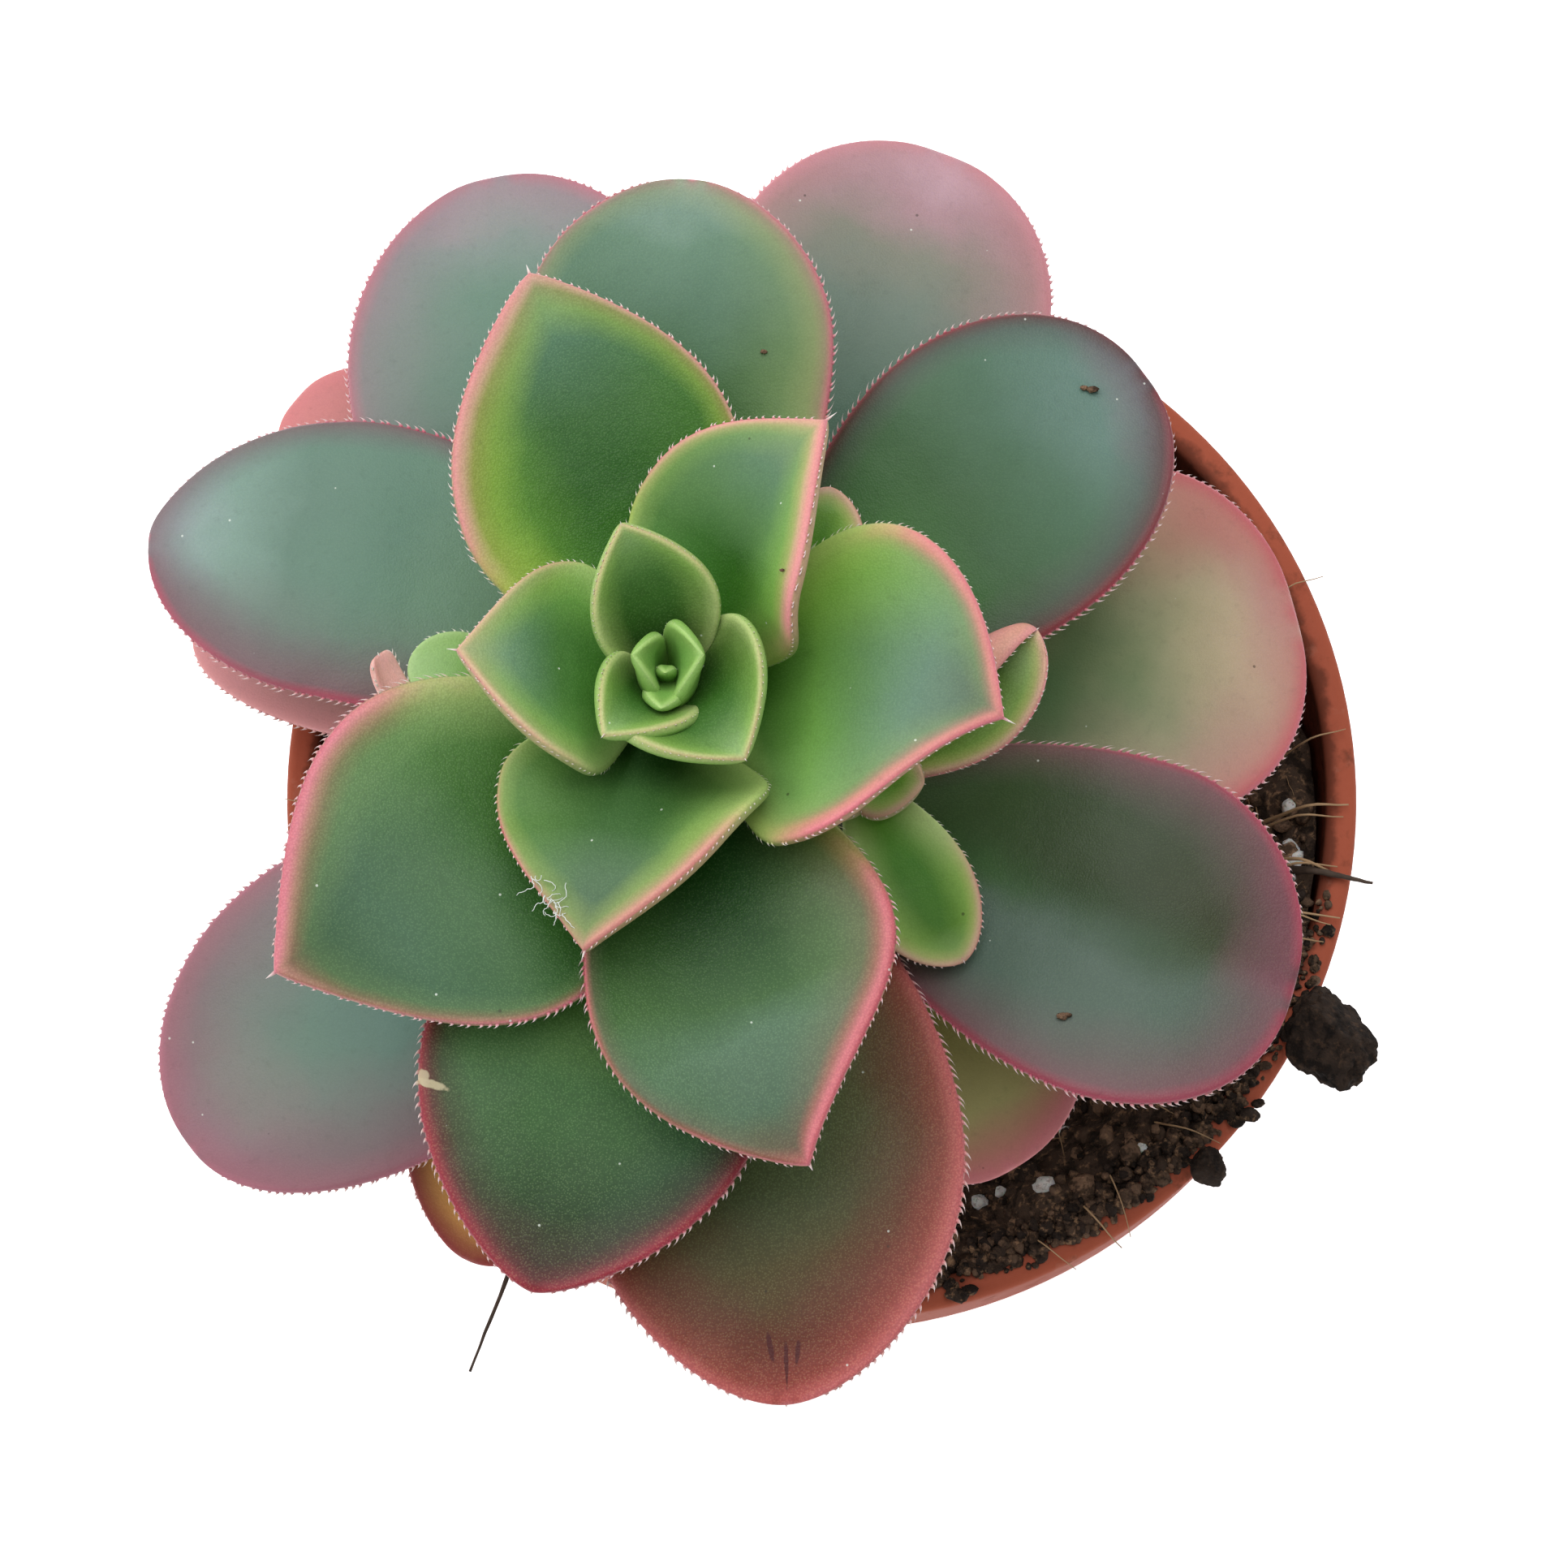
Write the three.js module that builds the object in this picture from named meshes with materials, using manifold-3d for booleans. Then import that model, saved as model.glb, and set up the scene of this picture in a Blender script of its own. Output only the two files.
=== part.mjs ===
// Potted aeonium: a rosette of fleshy toothed leaves on a short leaning stem, rooted
// in a filled plastic nursery pot. Millimetres, +Z up, origin under the middle of the pot.
import * as THREE from 'three';
import { mergeVertices } from 'three/addons/utils/BufferGeometryUtils.js';
import Module from 'manifold-3d';

const wasm = await Module();
wasm.setup();

// Clear space between neighbouring pieces
const GAP = 0.3;

// Sides of the round shapes in the pot and soil
const ROUND_SIDES = 44;

// Driving dimensions of the pot
const POT_TOP_RADIUS = 52.5;
const POT_BASE_RADIUS = 37.5;
const POT_HEIGHT = 92;
const POT_WALL = 1.3;
const POT_FLOOR = 1.6;
const COLLAR_HEIGHT = 12;
const COLLAR_STEP = 1.6;
const COLLAR_DRAFT = 0.4;
const LIP_WIDTH = 3;
const LIP_ROUND = 0.8;
const LIP_CORNER = 0.3 * LIP_ROUND;
const DRAIN_HOLES = 8;
const DRAIN_HOLE_RADIUS = 3.5;
const DRAIN_RING_RADIUS = 29;
const DRAIN_HOLE_SIDES = 12;

// Driving dimensions of the soil
const SOIL_TOP = 79.5;
const SOIL_LUMPS = 1.2;
const SOIL_BANK = 3.5;

// Driving dimensions of the stem, which leans away from the middle of the pot as it rises
const STEM_FOOT = 68;
const STEM_TOP = 148;
const STEM_LEAN_X = -13.6;
const STEM_LEAN_Y = -4.6;
const STEM_RADIUS = 5.2;
const STEM_TOP_RADIUS = 2.8;
const SCAR_PITCH = 8;
const SCAR_RELIEF = 0.2;
const STEM_SIDES = 12;

// Driving dimensions shared by the leaves
const TOOTH_LENGTH = 1;
const TOOTH_SHARE = 0.42;
const TOOTHLESS_SHARE = 0.12;
const LEAF_TEETH = 14;
const SMALL_LEAF_TEETH = 5;
const BLADE_MIDDLE = 2.4;
const BLADE_FOOT = 3.4;
const BLADE_EDGE = 0.75;
const SMALL_BLADE = 0.6;
const FOOT_SHARE = 0.2;
const CROWN_SHARE = 0.4;
const SEATING_PASSES = 5;
const LEAF_ROWS = [0, 0.18, 0.38, 0.58, 0.76, 0.91];
const SMALL_LEAF_ROWS = [0, 0.45, 0.8];

// Every large leaf, from the heart outwards: foot is the height at which it leaves the stem
// and tip its far end. Rise and dip are its slopes there, bend bows it sideways, and roll and
// cup tilt and hollow it, in degrees. Widest is the share of its length where it is widest,
// and point goes from 0.5 for a round end to 1 for a pointed one, which pinch draws in.
// Two values in brackets are those of the left and the right half of the leaf.
const LEAVES = [
  { foot: 143, tip: [0, 16.5, 157], rise: 40, dip: 10, roll: -30, bend: 4, width: [19.5, 25], cup: 35,
    point: [1.1, 0.9], widest: [0.48, 0.42], pinch: 0.1 },
  { foot: 140, tip: [15, -8.5, 152], rise: 35, dip: -10, bend: 3, width: [28, 30], cup: 25,
    point: [1, 1.05], widest: [0.56, 0.34], pinch: 0.3 },
  { foot: 141.8, tip: [-20.5, -28.5, 151], rise: 35, roll: 25, width: [23.5, 25], cup: 25,
    point: [1.1, 0.95], widest: [0.36, 0.38], pinch: 0.2 },
  { foot: 144, tip: [-31.5, -3, 154], rise: 35, dip: 10, roll: 15, width: 20, cup: 25, point: 1,
    widest: 0.42, pinch: 0.1 },
  { foot: 138, tip: [-26, 32.5, 149], rise: 25, dip: 10, width: [27, 25], cup: 20, point: [0.75, 0.8],
    widest: [0.48, 0.52], pinch: 0.25 },
  { foot: 138.2, tip: [-1.5, -45.5, 144], rise: 20, bend: -3.5, width: [29.5, 26], cup: 20,
    point: [1, 0.75], widest: [0.52, 0.6], pinch: 0.35 },
  { foot: 135, tip: [-47.5, -28.5, 142], rise: 20, width: [34, 31.5], cup: 20, point: 0.85,
    widest: 0.52, pinch: 0.3 },
  { foot: 129, tip: [-12, 45, 139], rise: 25, dip: 10, bend: 2, width: [29.5, 27], cup: 15,
    point: 0.52, widest: 0.68 },
  { foot: 119, tip: [29.5, 30.5, 127], rise: 20, dip: -10, bend: 2, width: 29, cup: 10, point: 0.46,
    widest: 0.64 },
  { foot: 131, tip: [-25.5, -55, 134], rise: 10, dip: -5, width: 31, cup: 15, point: 0.66, widest: 0.6,
    pinch: 0.1 },
  { foot: 113, tip: [42.5, -26, 120], rise: 10, dip: -15, bend: -3, width: 32, cup: 10, point: 0.45,
    widest: 0.68 },
  { foot: 117, tip: [-3.5, -63.5, 122], rise: 5, dip: -10, width: 35, cup: 10, point: 0.54,
    widest: 0.61, pinch: 0.1 },
  { foot: 115, tip: [-63, 17.5, 118], rise: 10, dip: -20, bend: -6.5, width: [27, 28], cup: -10,
    point: [0.45, 0.62], widest: [0.7, 0.58] },
  { foot: 109, tip: [-32.5, 54.5, 114], rise: 10, dip: -10, bend: 5, width: [38, 31],
    point: [0.55, 0.42], widest: [0.62, 0.7] },
  { foot: 105.8, tip: [12.5, 58.8, 109], rise: 10, dip: -20, bend: 3, width: [33, 31.5],
    point: [0.45, 0.48], widest: 0.7 },
  { foot: 103.7, tip: [45.5, 14, 104], rise: 5, dip: -25, bend: 1.5, width: 35.5, point: 0.42,
    widest: 0.67 },
  { foot: 106, tip: [-59, -38, 104], rise: 5, dip: -20, bend: -2, width: [30.5, 33],
    point: [0.5, 0.45], widest: [0.62, 0.66] },
  { foot: 102, tip: [17.5, -39.5, 101], dip: -25, width: [26, 20], point: 0.45, widest: 0.7 },
  { foot: 104, tip: [-60.5, 13.5, 102], dip: -25, width: [16, 20], point: 0.45, widest: 0.7 },
  { foot: 98, tip: [-51.5, 36.5, 101], dip: -25, width: 20, point: 0.45, widest: 0.72 },
  { foot: 98, tip: [-34, -47, 95], dip: -35, bend: -3, width: [20, 27], point: [0.5, 0.62],
    widest: [0.7, 0.6] },
];
const INNER_LEAVES = 5;
const MIDDLE_LEAVES = 12;

// The heart: the youngest leaves, wrapped round each other on top of the stem. Out and up
// are the distances of a leaf's foot from the top of the stem, clasp is the width of its foot
// as a share of its full width, and stout is its thickness as a share of a large leaf's.
const HEART_CORE = [[0, 0], [3, 0], [3, 2.5], [1.2, 5], [0, 5.5]];
const HEART_LEAVES = [
  { out: 1.6, up: 1.4, tip: [-17.4, 6.4, 160], rise: 55, dip: 50, width: [10.4, 13.2], cup: 50,
    point: [1, 0.9], widest: [0.4, 0.42], clasp: 0.6, stout: 0.75 },
  { out: 1.6, up: 1.4, tip: [-6.9, -13.2, 156.5], rise: 60, dip: 25, width: [14, 17], cup: 66,
    point: 1.05, widest: [0.4, 0.45], clasp: 0.7, stout: 0.85 },
  { out: 1.6, up: 1.4, tip: [-18.9, -11.4, 157.3], rise: 60, dip: 30, width: [11.5, 9.5], cup: 66,
    point: [1.1, 1], widest: 0.42, clasp: 0.7, stout: 0.85 },
  { out: 1, up: 2.2, tip: [-10.2, -4.9, 157.8], rise: 40, dip: 90, width: [6.8, 8], cup: 72,
    point: 0.8, widest: 0.6, clasp: 0.8, stout: 0.8 },
  { out: 0.8, up: 2.2, tip: [-17, -4.9, 157.4], rise: 40, dip: 90, width: [6.8, 4.8], cup: 72,
    point: 0.8, widest: 0.6, clasp: 0.8, stout: 0.8 },
  { out: 0.5, up: 2.6, tip: [-14.2, -9, 156.4], rise: 45, dip: 90, width: 4.6, cup: 65,
    point: 0.8, widest: 0.6, clasp: 0.8, stout: 0.7 },
  { out: 0.1, up: 3, tip: [-13.7, -5.4, 155.8], rise: 85, dip: 90, width: 2.4, cup: 60,
    point: 0.8, widest: 0.55, clasp: 0.8, stout: 0.6 },
];

// Side shoots: small leafy heads on short stalks from the stem
const STALK_RADIUS = 1.6;
const STALK_FOOT_OUT = 0.5;
const SHOOT_LEAF_OUT = 0.3;
const SHOOT_LEAF_DROP = 0.8;
const SHOOTS = {
  shoot_right: {
    root: 117,
    head: [2.5, -6.6, 124],
    leaves: [
      { tip: [12.6, -23.6, 122], rise: 30, dip: -20, width: [9.5, 12], cup: 15, point: 0.6, widest: 0.62 },
      { tip: [19, 4.6, 133], rise: 25, dip: 25, width: [15, 14], cup: [220, 35], point: 0.6, widest: 0.6 },
      { tip: [8.9, -8.6, 128.5], rise: 60, dip: 20, width: [6, 9], cup: 40, point: 0.7, widest: 0.6 },
      { tip: [4.5, 0.5, 129], rise: 60, dip: 40, width: 5, cup: 45, point: 0.8, widest: 0.5 },
      { tip: [-0.5, -12, 128], rise: 50, dip: 20, width: 6, cup: 40, point: 0.8, widest: 0.5 },
    ],
  },
  shoot_left: {
    root: 119,
    head: [-25, 1, 123],
    leaves: [
      { tip: [-37.9, 3.1, 126], rise: 25, dip: 5, width: 8, cup: 20, point: 0.5, widest: 0.65 },
      { tip: [-39.6, 2.4, 130.5], dip: 75, bend: 5, width: 3.8, cup: 120, point: 0.3, widest: 0.8 },
      { tip: [-29, 5.5, 128], rise: 50, dip: 30, width: 5, cup: 45, point: 0.8, widest: 0.5 },
      { tip: [-29, -4, 127], rise: 50, dip: 30, width: 5, cup: 45, point: 0.8, widest: 0.5 },
    ],
  },
  shoot_back: {
    root: 124,
    head: [-1.5, 6.5, 127],
    leaves: [
      { tip: [0.5, 18.5, 131], rise: 20, dip: 20, width: 8, cup: 25, point: 0.6, widest: 0.6 },
      { tip: [5.5, 11, 131], rise: 30, dip: 20, width: 7, cup: 25, point: 0.6, widest: 0.6 },
      { tip: [5, 4, 131], rise: 50, dip: 20, width: 5, cup: 40, point: 0.7, widest: 0.6 },
    ],
  },
};

// Crumbs of soil on the lip: radius, place of the middle and how flat each one is
const CLODS = {
  clod_large: { radius: 4.6, centre: [48.8, -25.8, 95.2], flat: 0.75, detail: 3 },
  clod_small: { radius: 2, centre: [36.4, -38, 93.6], flat: 0.8, detail: 2 },
};
const CLOD_RELIEF = 0.07;

// Dry twigs that lie across the lip, by the points they pass
const TWIG_RADIUS = 0.55;
const TWIGS = {
  twig_right: [[41, -6.5, 83.5], [45, -7.8, 88.8], [48, -8.7, 92.7], [52, -9.7, 92.75], [55.5, -10.6, 93]],
  twig_left: [[-21, -32.5, 79.2], [-24, -37, 87], [-26.3, -40.8, 92.7], [-29, -45.5, 92.72],
    [-33.5, -57.5, 93.1]],
};

const COLOURS = {
  pot: 0x8c4230,
  soil: 0x2b221d,
  stem: 0x77704f,
  heart: 0x74a043,
  inner: 0x66954a,
  middle: 0x547f55,
  outer: 0x72827a,
  shoot: 0x6f9d47,
  twig: 0x3b2f28,
};
const LEAF_ROUGHNESS = 0.5;
const SOIL_ROUGHNESS = 0.95;

const UP = new THREE.Vector3(0, 0, 1);
const radians = THREE.MathUtils.degToRad;
const ramp = (x) => THREE.MathUtils.smoothstep(x, 0, 1);
const vector = (point) => new THREE.Vector3(...point);

// The value of one side of a leaf, out of a [left, right] pair or a single number for both
const sided = (value, across) => (Array.isArray(value) ? value[across > 0 ? 0 : 1] : value);

function named(name, geometry, color, roughness) {
  geometry.computeVertexNormals();
  const mesh = new THREE.Mesh(geometry, new THREE.MeshStandardMaterial({ color, roughness, metalness: 0 }));
  mesh.name = name;
  return mesh;
}

// A geometry as a solid that can be joined and cut
function toSolid(geometry) {
  const bare = geometry.clone();
  bare.deleteAttribute('normal');
  bare.deleteAttribute('uv');
  const merged = mergeVertices(bare, 1e-4);
  const corners = [];
  for (let i = 0; i < merged.index.count; i += 3) {
    const [a, b, c] = [0, 1, 2].map((k) => merged.index.getX(i + k));
    if (a !== b && b !== c && c !== a) corners.push(a, b, c);
  }
  return new wasm.Manifold(new wasm.Mesh({
    numProp: 3,
    vertProperties: new Float32Array(merged.attributes.position.array),
    triVerts: new Uint32Array(corners),
  }));
}

function toGeometry(solid) {
  const { vertProperties, triVerts } = solid.getMesh();
  const geometry = new THREE.BufferGeometry();
  geometry.setAttribute('position', new THREE.BufferAttribute(vertProperties, 3));
  geometry.setIndex(new THREE.BufferAttribute(triVerts, 1));
  return geometry;
}

// The main body of a joined solid, without slivers that stand apart from it
function mainBody(solid) {
  const largerOf = (one, other) => (other.volume() > one.volume() ? other : one);
  return toGeometry(solid.decompose().reduce(largerOf));
}

// A turned solid: the profile lists [radius, height] from the axis at the bottom,
// up the outside and back to the axis
function turned(profile, sides) {
  const points = profile.map(([radius, height]) => new THREE.Vector2(radius, height));
  return new THREE.LatheGeometry(points, sides).rotateX(Math.PI / 2);
}

function moveVertices(geometry, move) {
  const position = geometry.attributes.position;
  const point = new THREE.Vector3();
  for (let i = 0; i < position.count; i += 1) {
    move(point.fromBufferAttribute(position, i));
    position.setXYZ(i, point.x, point.y, point.z);
  }
  return geometry;
}

// Pot: tapered wall, outer collar under a rounded lip, ring of drain holes in the floor
const wallTopRadius = POT_TOP_RADIUS - COLLAR_STEP;
const wallTopHeight = POT_HEIGHT - COLLAR_HEIGHT;
const outerRadius = (z) => THREE.MathUtils.mapLinear(z, 0, wallTopHeight, POT_BASE_RADIUS, wallTopRadius);
const innerRadius = (z) => outerRadius(z) - POT_WALL;

function potGeometry() {
  const lipInside = POT_TOP_RADIUS - LIP_WIDTH;
  const profile = [
    [0, 0],
    [POT_BASE_RADIUS - LIP_ROUND, 0],
    [POT_BASE_RADIUS, LIP_ROUND],
    [wallTopRadius, wallTopHeight - COLLAR_STEP],
    [POT_TOP_RADIUS - COLLAR_DRAFT, wallTopHeight],
    [POT_TOP_RADIUS, POT_HEIGHT - LIP_ROUND],
    [POT_TOP_RADIUS - LIP_CORNER, POT_HEIGHT - LIP_CORNER],
    [POT_TOP_RADIUS - LIP_ROUND, POT_HEIGHT],
    [lipInside + LIP_ROUND, POT_HEIGHT],
    [lipInside + LIP_CORNER, POT_HEIGHT - LIP_CORNER],
    [lipInside, POT_HEIGHT - LIP_ROUND],
    [innerRadius(wallTopHeight), wallTopHeight],
    [innerRadius(POT_FLOOR), POT_FLOOR],
    [0, POT_FLOOR],
  ];
  let solid = toSolid(turned(profile, ROUND_SIDES));
  for (let i = 0; i < DRAIN_HOLES; i += 1) {
    const turn = (2 * Math.PI * i) / DRAIN_HOLES;
    const depth = 4 * POT_FLOOR;
    const hole = new THREE.CylinderGeometry(DRAIN_HOLE_RADIUS, DRAIN_HOLE_RADIUS, depth, DRAIN_HOLE_SIDES);
    hole.rotateX(Math.PI / 2);
    hole.translate(DRAIN_RING_RADIUS * Math.cos(turn), DRAIN_RING_RADIUS * Math.sin(turn), 0);
    solid = solid.subtract(toSolid(hole));
  }
  return toGeometry(solid);
}

// Stem: round, thinner towards the top, ringed by the scars of fallen leaves
function stemShare(z) {
  return THREE.MathUtils.clamp((z - SOIL_TOP) / (STEM_TOP - SOIL_TOP), -0.2, 1.1);
}

function stemAxis(z) {
  const share = stemShare(z);
  const lean = 0.45 * share + 0.55 * ramp(share);
  return new THREE.Vector3(STEM_LEAN_X * lean, STEM_LEAN_Y * lean, z);
}

function stemRadius(z) {
  const share = THREE.MathUtils.clamp(stemShare(z), 0, 1);
  return THREE.MathUtils.lerp(STEM_RADIUS, STEM_TOP_RADIUS, share * share);
}

function stemGeometry(swell = 0) {
  const profile = [[0, STEM_FOOT - swell]];
  const rows = Math.round((STEM_TOP - STEM_FOOT) / SCAR_PITCH) * 2;
  for (let i = 0; i <= rows; i += 1) {
    const z = THREE.MathUtils.lerp(STEM_FOOT - swell, STEM_TOP, i / rows);
    profile.push([stemRadius(z) + swell - (i % 2) * SCAR_RELIEF, z]);
  }
  profile.push([0, STEM_TOP]);
  return moveVertices(turned(profile, STEM_SIDES), (point) => {
    const axis = stemAxis(point.z);
    point.x += axis.x;
    point.y += axis.y;
  });
}

// Soil: fills the pot, lumpy on top and banked up against the wall on the open side
function soilHeight(x, y) {
  const lumps = Math.sin(0.42 * x + 1.3) * Math.cos(0.37 * y - 0.6) + 0.6 * Math.sin(0.9 * y + 0.31 * x);
  const bank = ramp((0.75 * x - 0.66 * y - 12) / 35);
  return SOIL_TOP + SOIL_LUMPS * lumps + SOIL_BANK * bank;
}

function soilGeometry() {
  const topRadius = innerRadius(wallTopHeight - COLLAR_STEP) - GAP;
  const bottomHeight = POT_FLOOR + GAP;
  const rings = [1, 0.94, 0.84, 0.72, 0.6, 0.47, 0.34, 0.2, 0];
  const profile = [[0, bottomHeight], [innerRadius(bottomHeight) - GAP, bottomHeight]];
  rings.forEach((share) => profile.push([topRadius * share, SOIL_TOP]));
  const soil = moveVertices(turned(profile, ROUND_SIDES), (point) => {
    if (point.z > bottomHeight + 1) point.z = soilHeight(point.x, point.y);
  });
  return toGeometry(toSolid(soil).subtract(toSolid(stemGeometry(GAP))));
}

// A leaf blade. Its midrib is a curve from foot to tip, and its cross-sections widen and
// close again along it, hollowed by cup. Places are given by a share of the length and
// by across, which goes from -1 at the right edge to 1 at the left one.
class Blade {
  constructor(start, leaf) {
    const { rise = 0, dip = 0, roll = 0, bend = 0, cup = 0, pinch = 0, clasp = FOOT_SHARE, stout = 1 } = leaf;
    const { width, point, widest } = leaf;
    const end = vector(leaf.tip);
    const heading = new THREE.Vector3(end.x - start.x, end.y - start.y, 0).normalize();
    const reach = 0.36 * start.distanceTo(end);
    const slope = (angle) => heading.clone().multiplyScalar(Math.cos(radians(angle)))
      .addScaledVector(UP, Math.sin(radians(angle)));
    this.side = new THREE.Vector3().crossVectors(UP, heading);
    const leave = start.clone().addScaledVector(slope(rise), reach).addScaledVector(this.side, 0.6 * bend);
    const arrive = end.clone().addScaledVector(slope(dip), -reach).addScaledVector(this.side, bend);
    this.midrib = new THREE.CubicBezierCurve3(start, leave, arrive, end);
    this.roll = radians(roll);
    Object.assign(this, { cup, width, point, widest, pinch, clasp, stout });
  }

  halfWidth(share, across) {
    const [width, point, widest] = [this.width, this.point, this.widest].map((value) => sided(value, across));
    const x = share / widest;
    const y = (share - widest) / (1 - widest);
    const part = share < widest
      ? this.clasp + (1 - this.clasp) * (1.5 * x - 0.5 * x ** 3)
      : Math.max(1 - y * y, 0) ** point * (1 - this.pinch * y ** 3);
    return (part * width) / 2;
  }

  thickness(share, across) {
    const middle = THREE.MathUtils.lerp(BLADE_FOOT, BLADE_MIDDLE, Math.min(2 * share, 1));
    const fade = 1 - 0.5 * ramp((share - 0.6) / 0.4);
    return BLADE_EDGE + (middle * fade * this.stout - BLADE_EDGE) * (1 - across * across) ** 0.6;
  }

  // The frame of the cross-section at one share of the length
  section(share) {
    const along = this.midrib.getTangent(share);
    const left = this.side.clone().addScaledVector(along, -along.dot(this.side)).normalize();
    const up = new THREE.Vector3().crossVectors(along, left);
    const turn = this.roll * ramp(1.7 * share);
    const rolled = left.clone().multiplyScalar(Math.cos(turn)).addScaledVector(up, Math.sin(turn));
    up.multiplyScalar(Math.cos(turn)).addScaledVector(left, -Math.sin(turn));
    return { centre: this.midrib.getPoint(share), along, left: rolled, up };
  }

  // A place on the middle sheet, lifted by a share of the thickness
  place(share, across, lift = 0) {
    const { centre, left, up } = this.section(share);
    const bow = radians(sided(this.cup, across)) * (1 - 0.4 * share) + 1e-4;
    const radius = this.halfWidth(share, across) / bow;
    const turn = bow * across;
    const raise = lift * this.thickness(share, across);
    return centre
      .addScaledVector(left, radius * Math.sin(turn) - raise * Math.sin(turn))
      .addScaledVector(up, radius * (1 - Math.cos(turn)) + raise * Math.cos(turn));
  }

  // Shares of the length at fractions of the way along one edge, from foot to tip
  edgeShares(fractions, across) {
    const samples = 160;
    const lengths = [0];
    let last = this.place(0, across);
    for (let i = 1; i <= samples; i += 1) {
      const next = this.place(i / samples, across);
      lengths.push(lengths[i - 1] + next.distanceTo(last));
      last = next;
    }
    return fractions.map((fraction) => {
      const wanted = fraction * lengths[samples];
      const i = Math.min(lengths.findIndex((length) => length > wanted), samples) - 1;
      if (i < 0) return 1;
      return (i + (wanted - lengths[i]) / (lengths[i + 1] - lengths[i])) / samples;
    });
  }
}

// Triangles between two lines of vertices that both end at the tip
function stitch(leftLine, rightLine) {
  const triangles = [];
  let [i, j] = [0, 0];
  while (i < leftLine.length - 1 || j < rightLine.length - 1) {
    const onLeft = j === rightLine.length - 1
      || (i < leftLine.length - 1 && leftLine[i + 1].share <= rightLine[j + 1].share);
    const next = onLeft ? leftLine[i + 1] : rightLine[j + 1];
    const corners = [leftLine[i].index, rightLine[j].index, next.index];
    if (new Set(corners).size === 3) triangles.push(corners);
    if (onLeft) i += 1;
    else j += 1;
  }
  return triangles;
}

// The solid of one leaf: an upper and an under sheet split alike, joined by a toothed edge
function leafGeometry(blade, rows, teeth) {
  const points = [];
  const triangles = [];
  const vertex = (point, share) => ({ index: points.push(point) - 1, share });

  const stops = [];
  for (let k = 0; k < teeth; k += 1) stops.push(k / teeth, (k + TOOTH_SHARE) / teeth);
  const sheets = [CROWN_SHARE, CROWN_SHARE - 1].map((lift) => {
    const tip = vertex(blade.place(1, 0, lift), 1);
    return [1, 0.5, 0, -0.5, -1].map((across) => {
      const shares = Math.abs(across) === 1 ? blade.edgeShares(stops, across) : rows;
      return [...shares.map((share) => vertex(blade.place(share, across, lift), share)), tip];
    });
  });
  for (let line = 0; line < 4; line += 1) {
    const upper = stitch(sheets[0][line], sheets[0][line + 1]);
    const under = stitch(sheets[1][line], sheets[1][line + 1]);
    triangles.push(...upper, ...under.map((corners) => corners.reverse()));
    const foot = [sheets[0][line], sheets[1][line], sheets[1][line + 1], sheets[0][line + 1]]
      .map((side) => side[0].index);
    triangles.push([foot[0], foot[1], foot[2]], [foot[0], foot[2], foot[3]]);
  }

  [[0, 1], [4, -1]].forEach(([line, across]) => {
    for (let k = 0; k < stops.length; k += 1) {
      const [upper, under] = [sheets[0][line], sheets[1][line]];
      const ring = [upper[k], upper[k + 1], under[k + 1], under[k]].map((corner) => corner.index);
      if (across < 0) ring.reverse();
      const toothed = k % 2 === 0 && stops[k] > TOOTHLESS_SHARE && k < stops.length - 2;
      if (toothed) {
        const middle = new THREE.Vector3();
        ring.forEach((index) => middle.addScaledVector(points[index], 0.25));
        const share = (upper[k].share + upper[k + 1].share) / 2;
        const outward = blade.place(share, across).sub(blade.place(share, 0.8 * across)).normalize();
        const lean = blade.section(share).along.multiplyScalar(0.5);
        middle.addScaledVector(outward.add(lean).normalize(), TOOTH_LENGTH);
        const top = vertex(middle, share).index;
        ring.forEach((index, n) => triangles.push([index, ring[(n + 1) % 4], top]));
      } else {
        triangles.push([ring[0], ring[1], ring[2]], [ring[0], ring[2], ring[3]]);
      }
    }
  });

  const geometry = new THREE.BufferGeometry().setFromPoints(points);
  geometry.setIndex(triangles.flat());
  return geometry;
}

// A large leaf, slid in towards the stem until its foot is just clear of the bark
function largeLeaf(leaf, bark) {
  const axis = stemAxis(leaf.foot);
  const outward = new THREE.Vector3(leaf.tip[0] - axis.x, leaf.tip[1] - axis.y, 0).normalize();
  let away = stemRadius(leaf.foot) + BLADE_FOOT;
  let geometry;
  for (let pass = 0; pass < SEATING_PASSES; pass += 1) {
    const start = axis.clone().addScaledVector(outward, away);
    geometry = leafGeometry(new Blade(start, leaf), LEAF_ROWS, LEAF_TEETH);
    away -= toSolid(geometry).minGap(bark, 2 * BLADE_FOOT) - GAP;
  }
  return geometry;
}

function smallLeaf(start, leaf) {
  const blade = new Blade(start, { stout: SMALL_BLADE, ...leaf });
  return toSolid(leafGeometry(blade, SMALL_LEAF_ROWS, SMALL_LEAF_TEETH));
}

// Heart: a small cone with the youngest leaves round it, all one piece
function heartGeometry() {
  const foot = stemAxis(STEM_TOP + GAP);
  let solid = toSolid(turned(HEART_CORE, STEM_SIDES).translate(foot.x, foot.y, foot.z));
  HEART_LEAVES.forEach((leaf) => {
    const outward = vector(leaf.tip).sub(foot).setZ(0).normalize();
    const start = foot.clone().addScaledVector(outward, leaf.out).addScaledVector(UP, leaf.up);
    solid = solid.add(smallLeaf(start, leaf));
  });
  return mainBody(solid);
}

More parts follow.
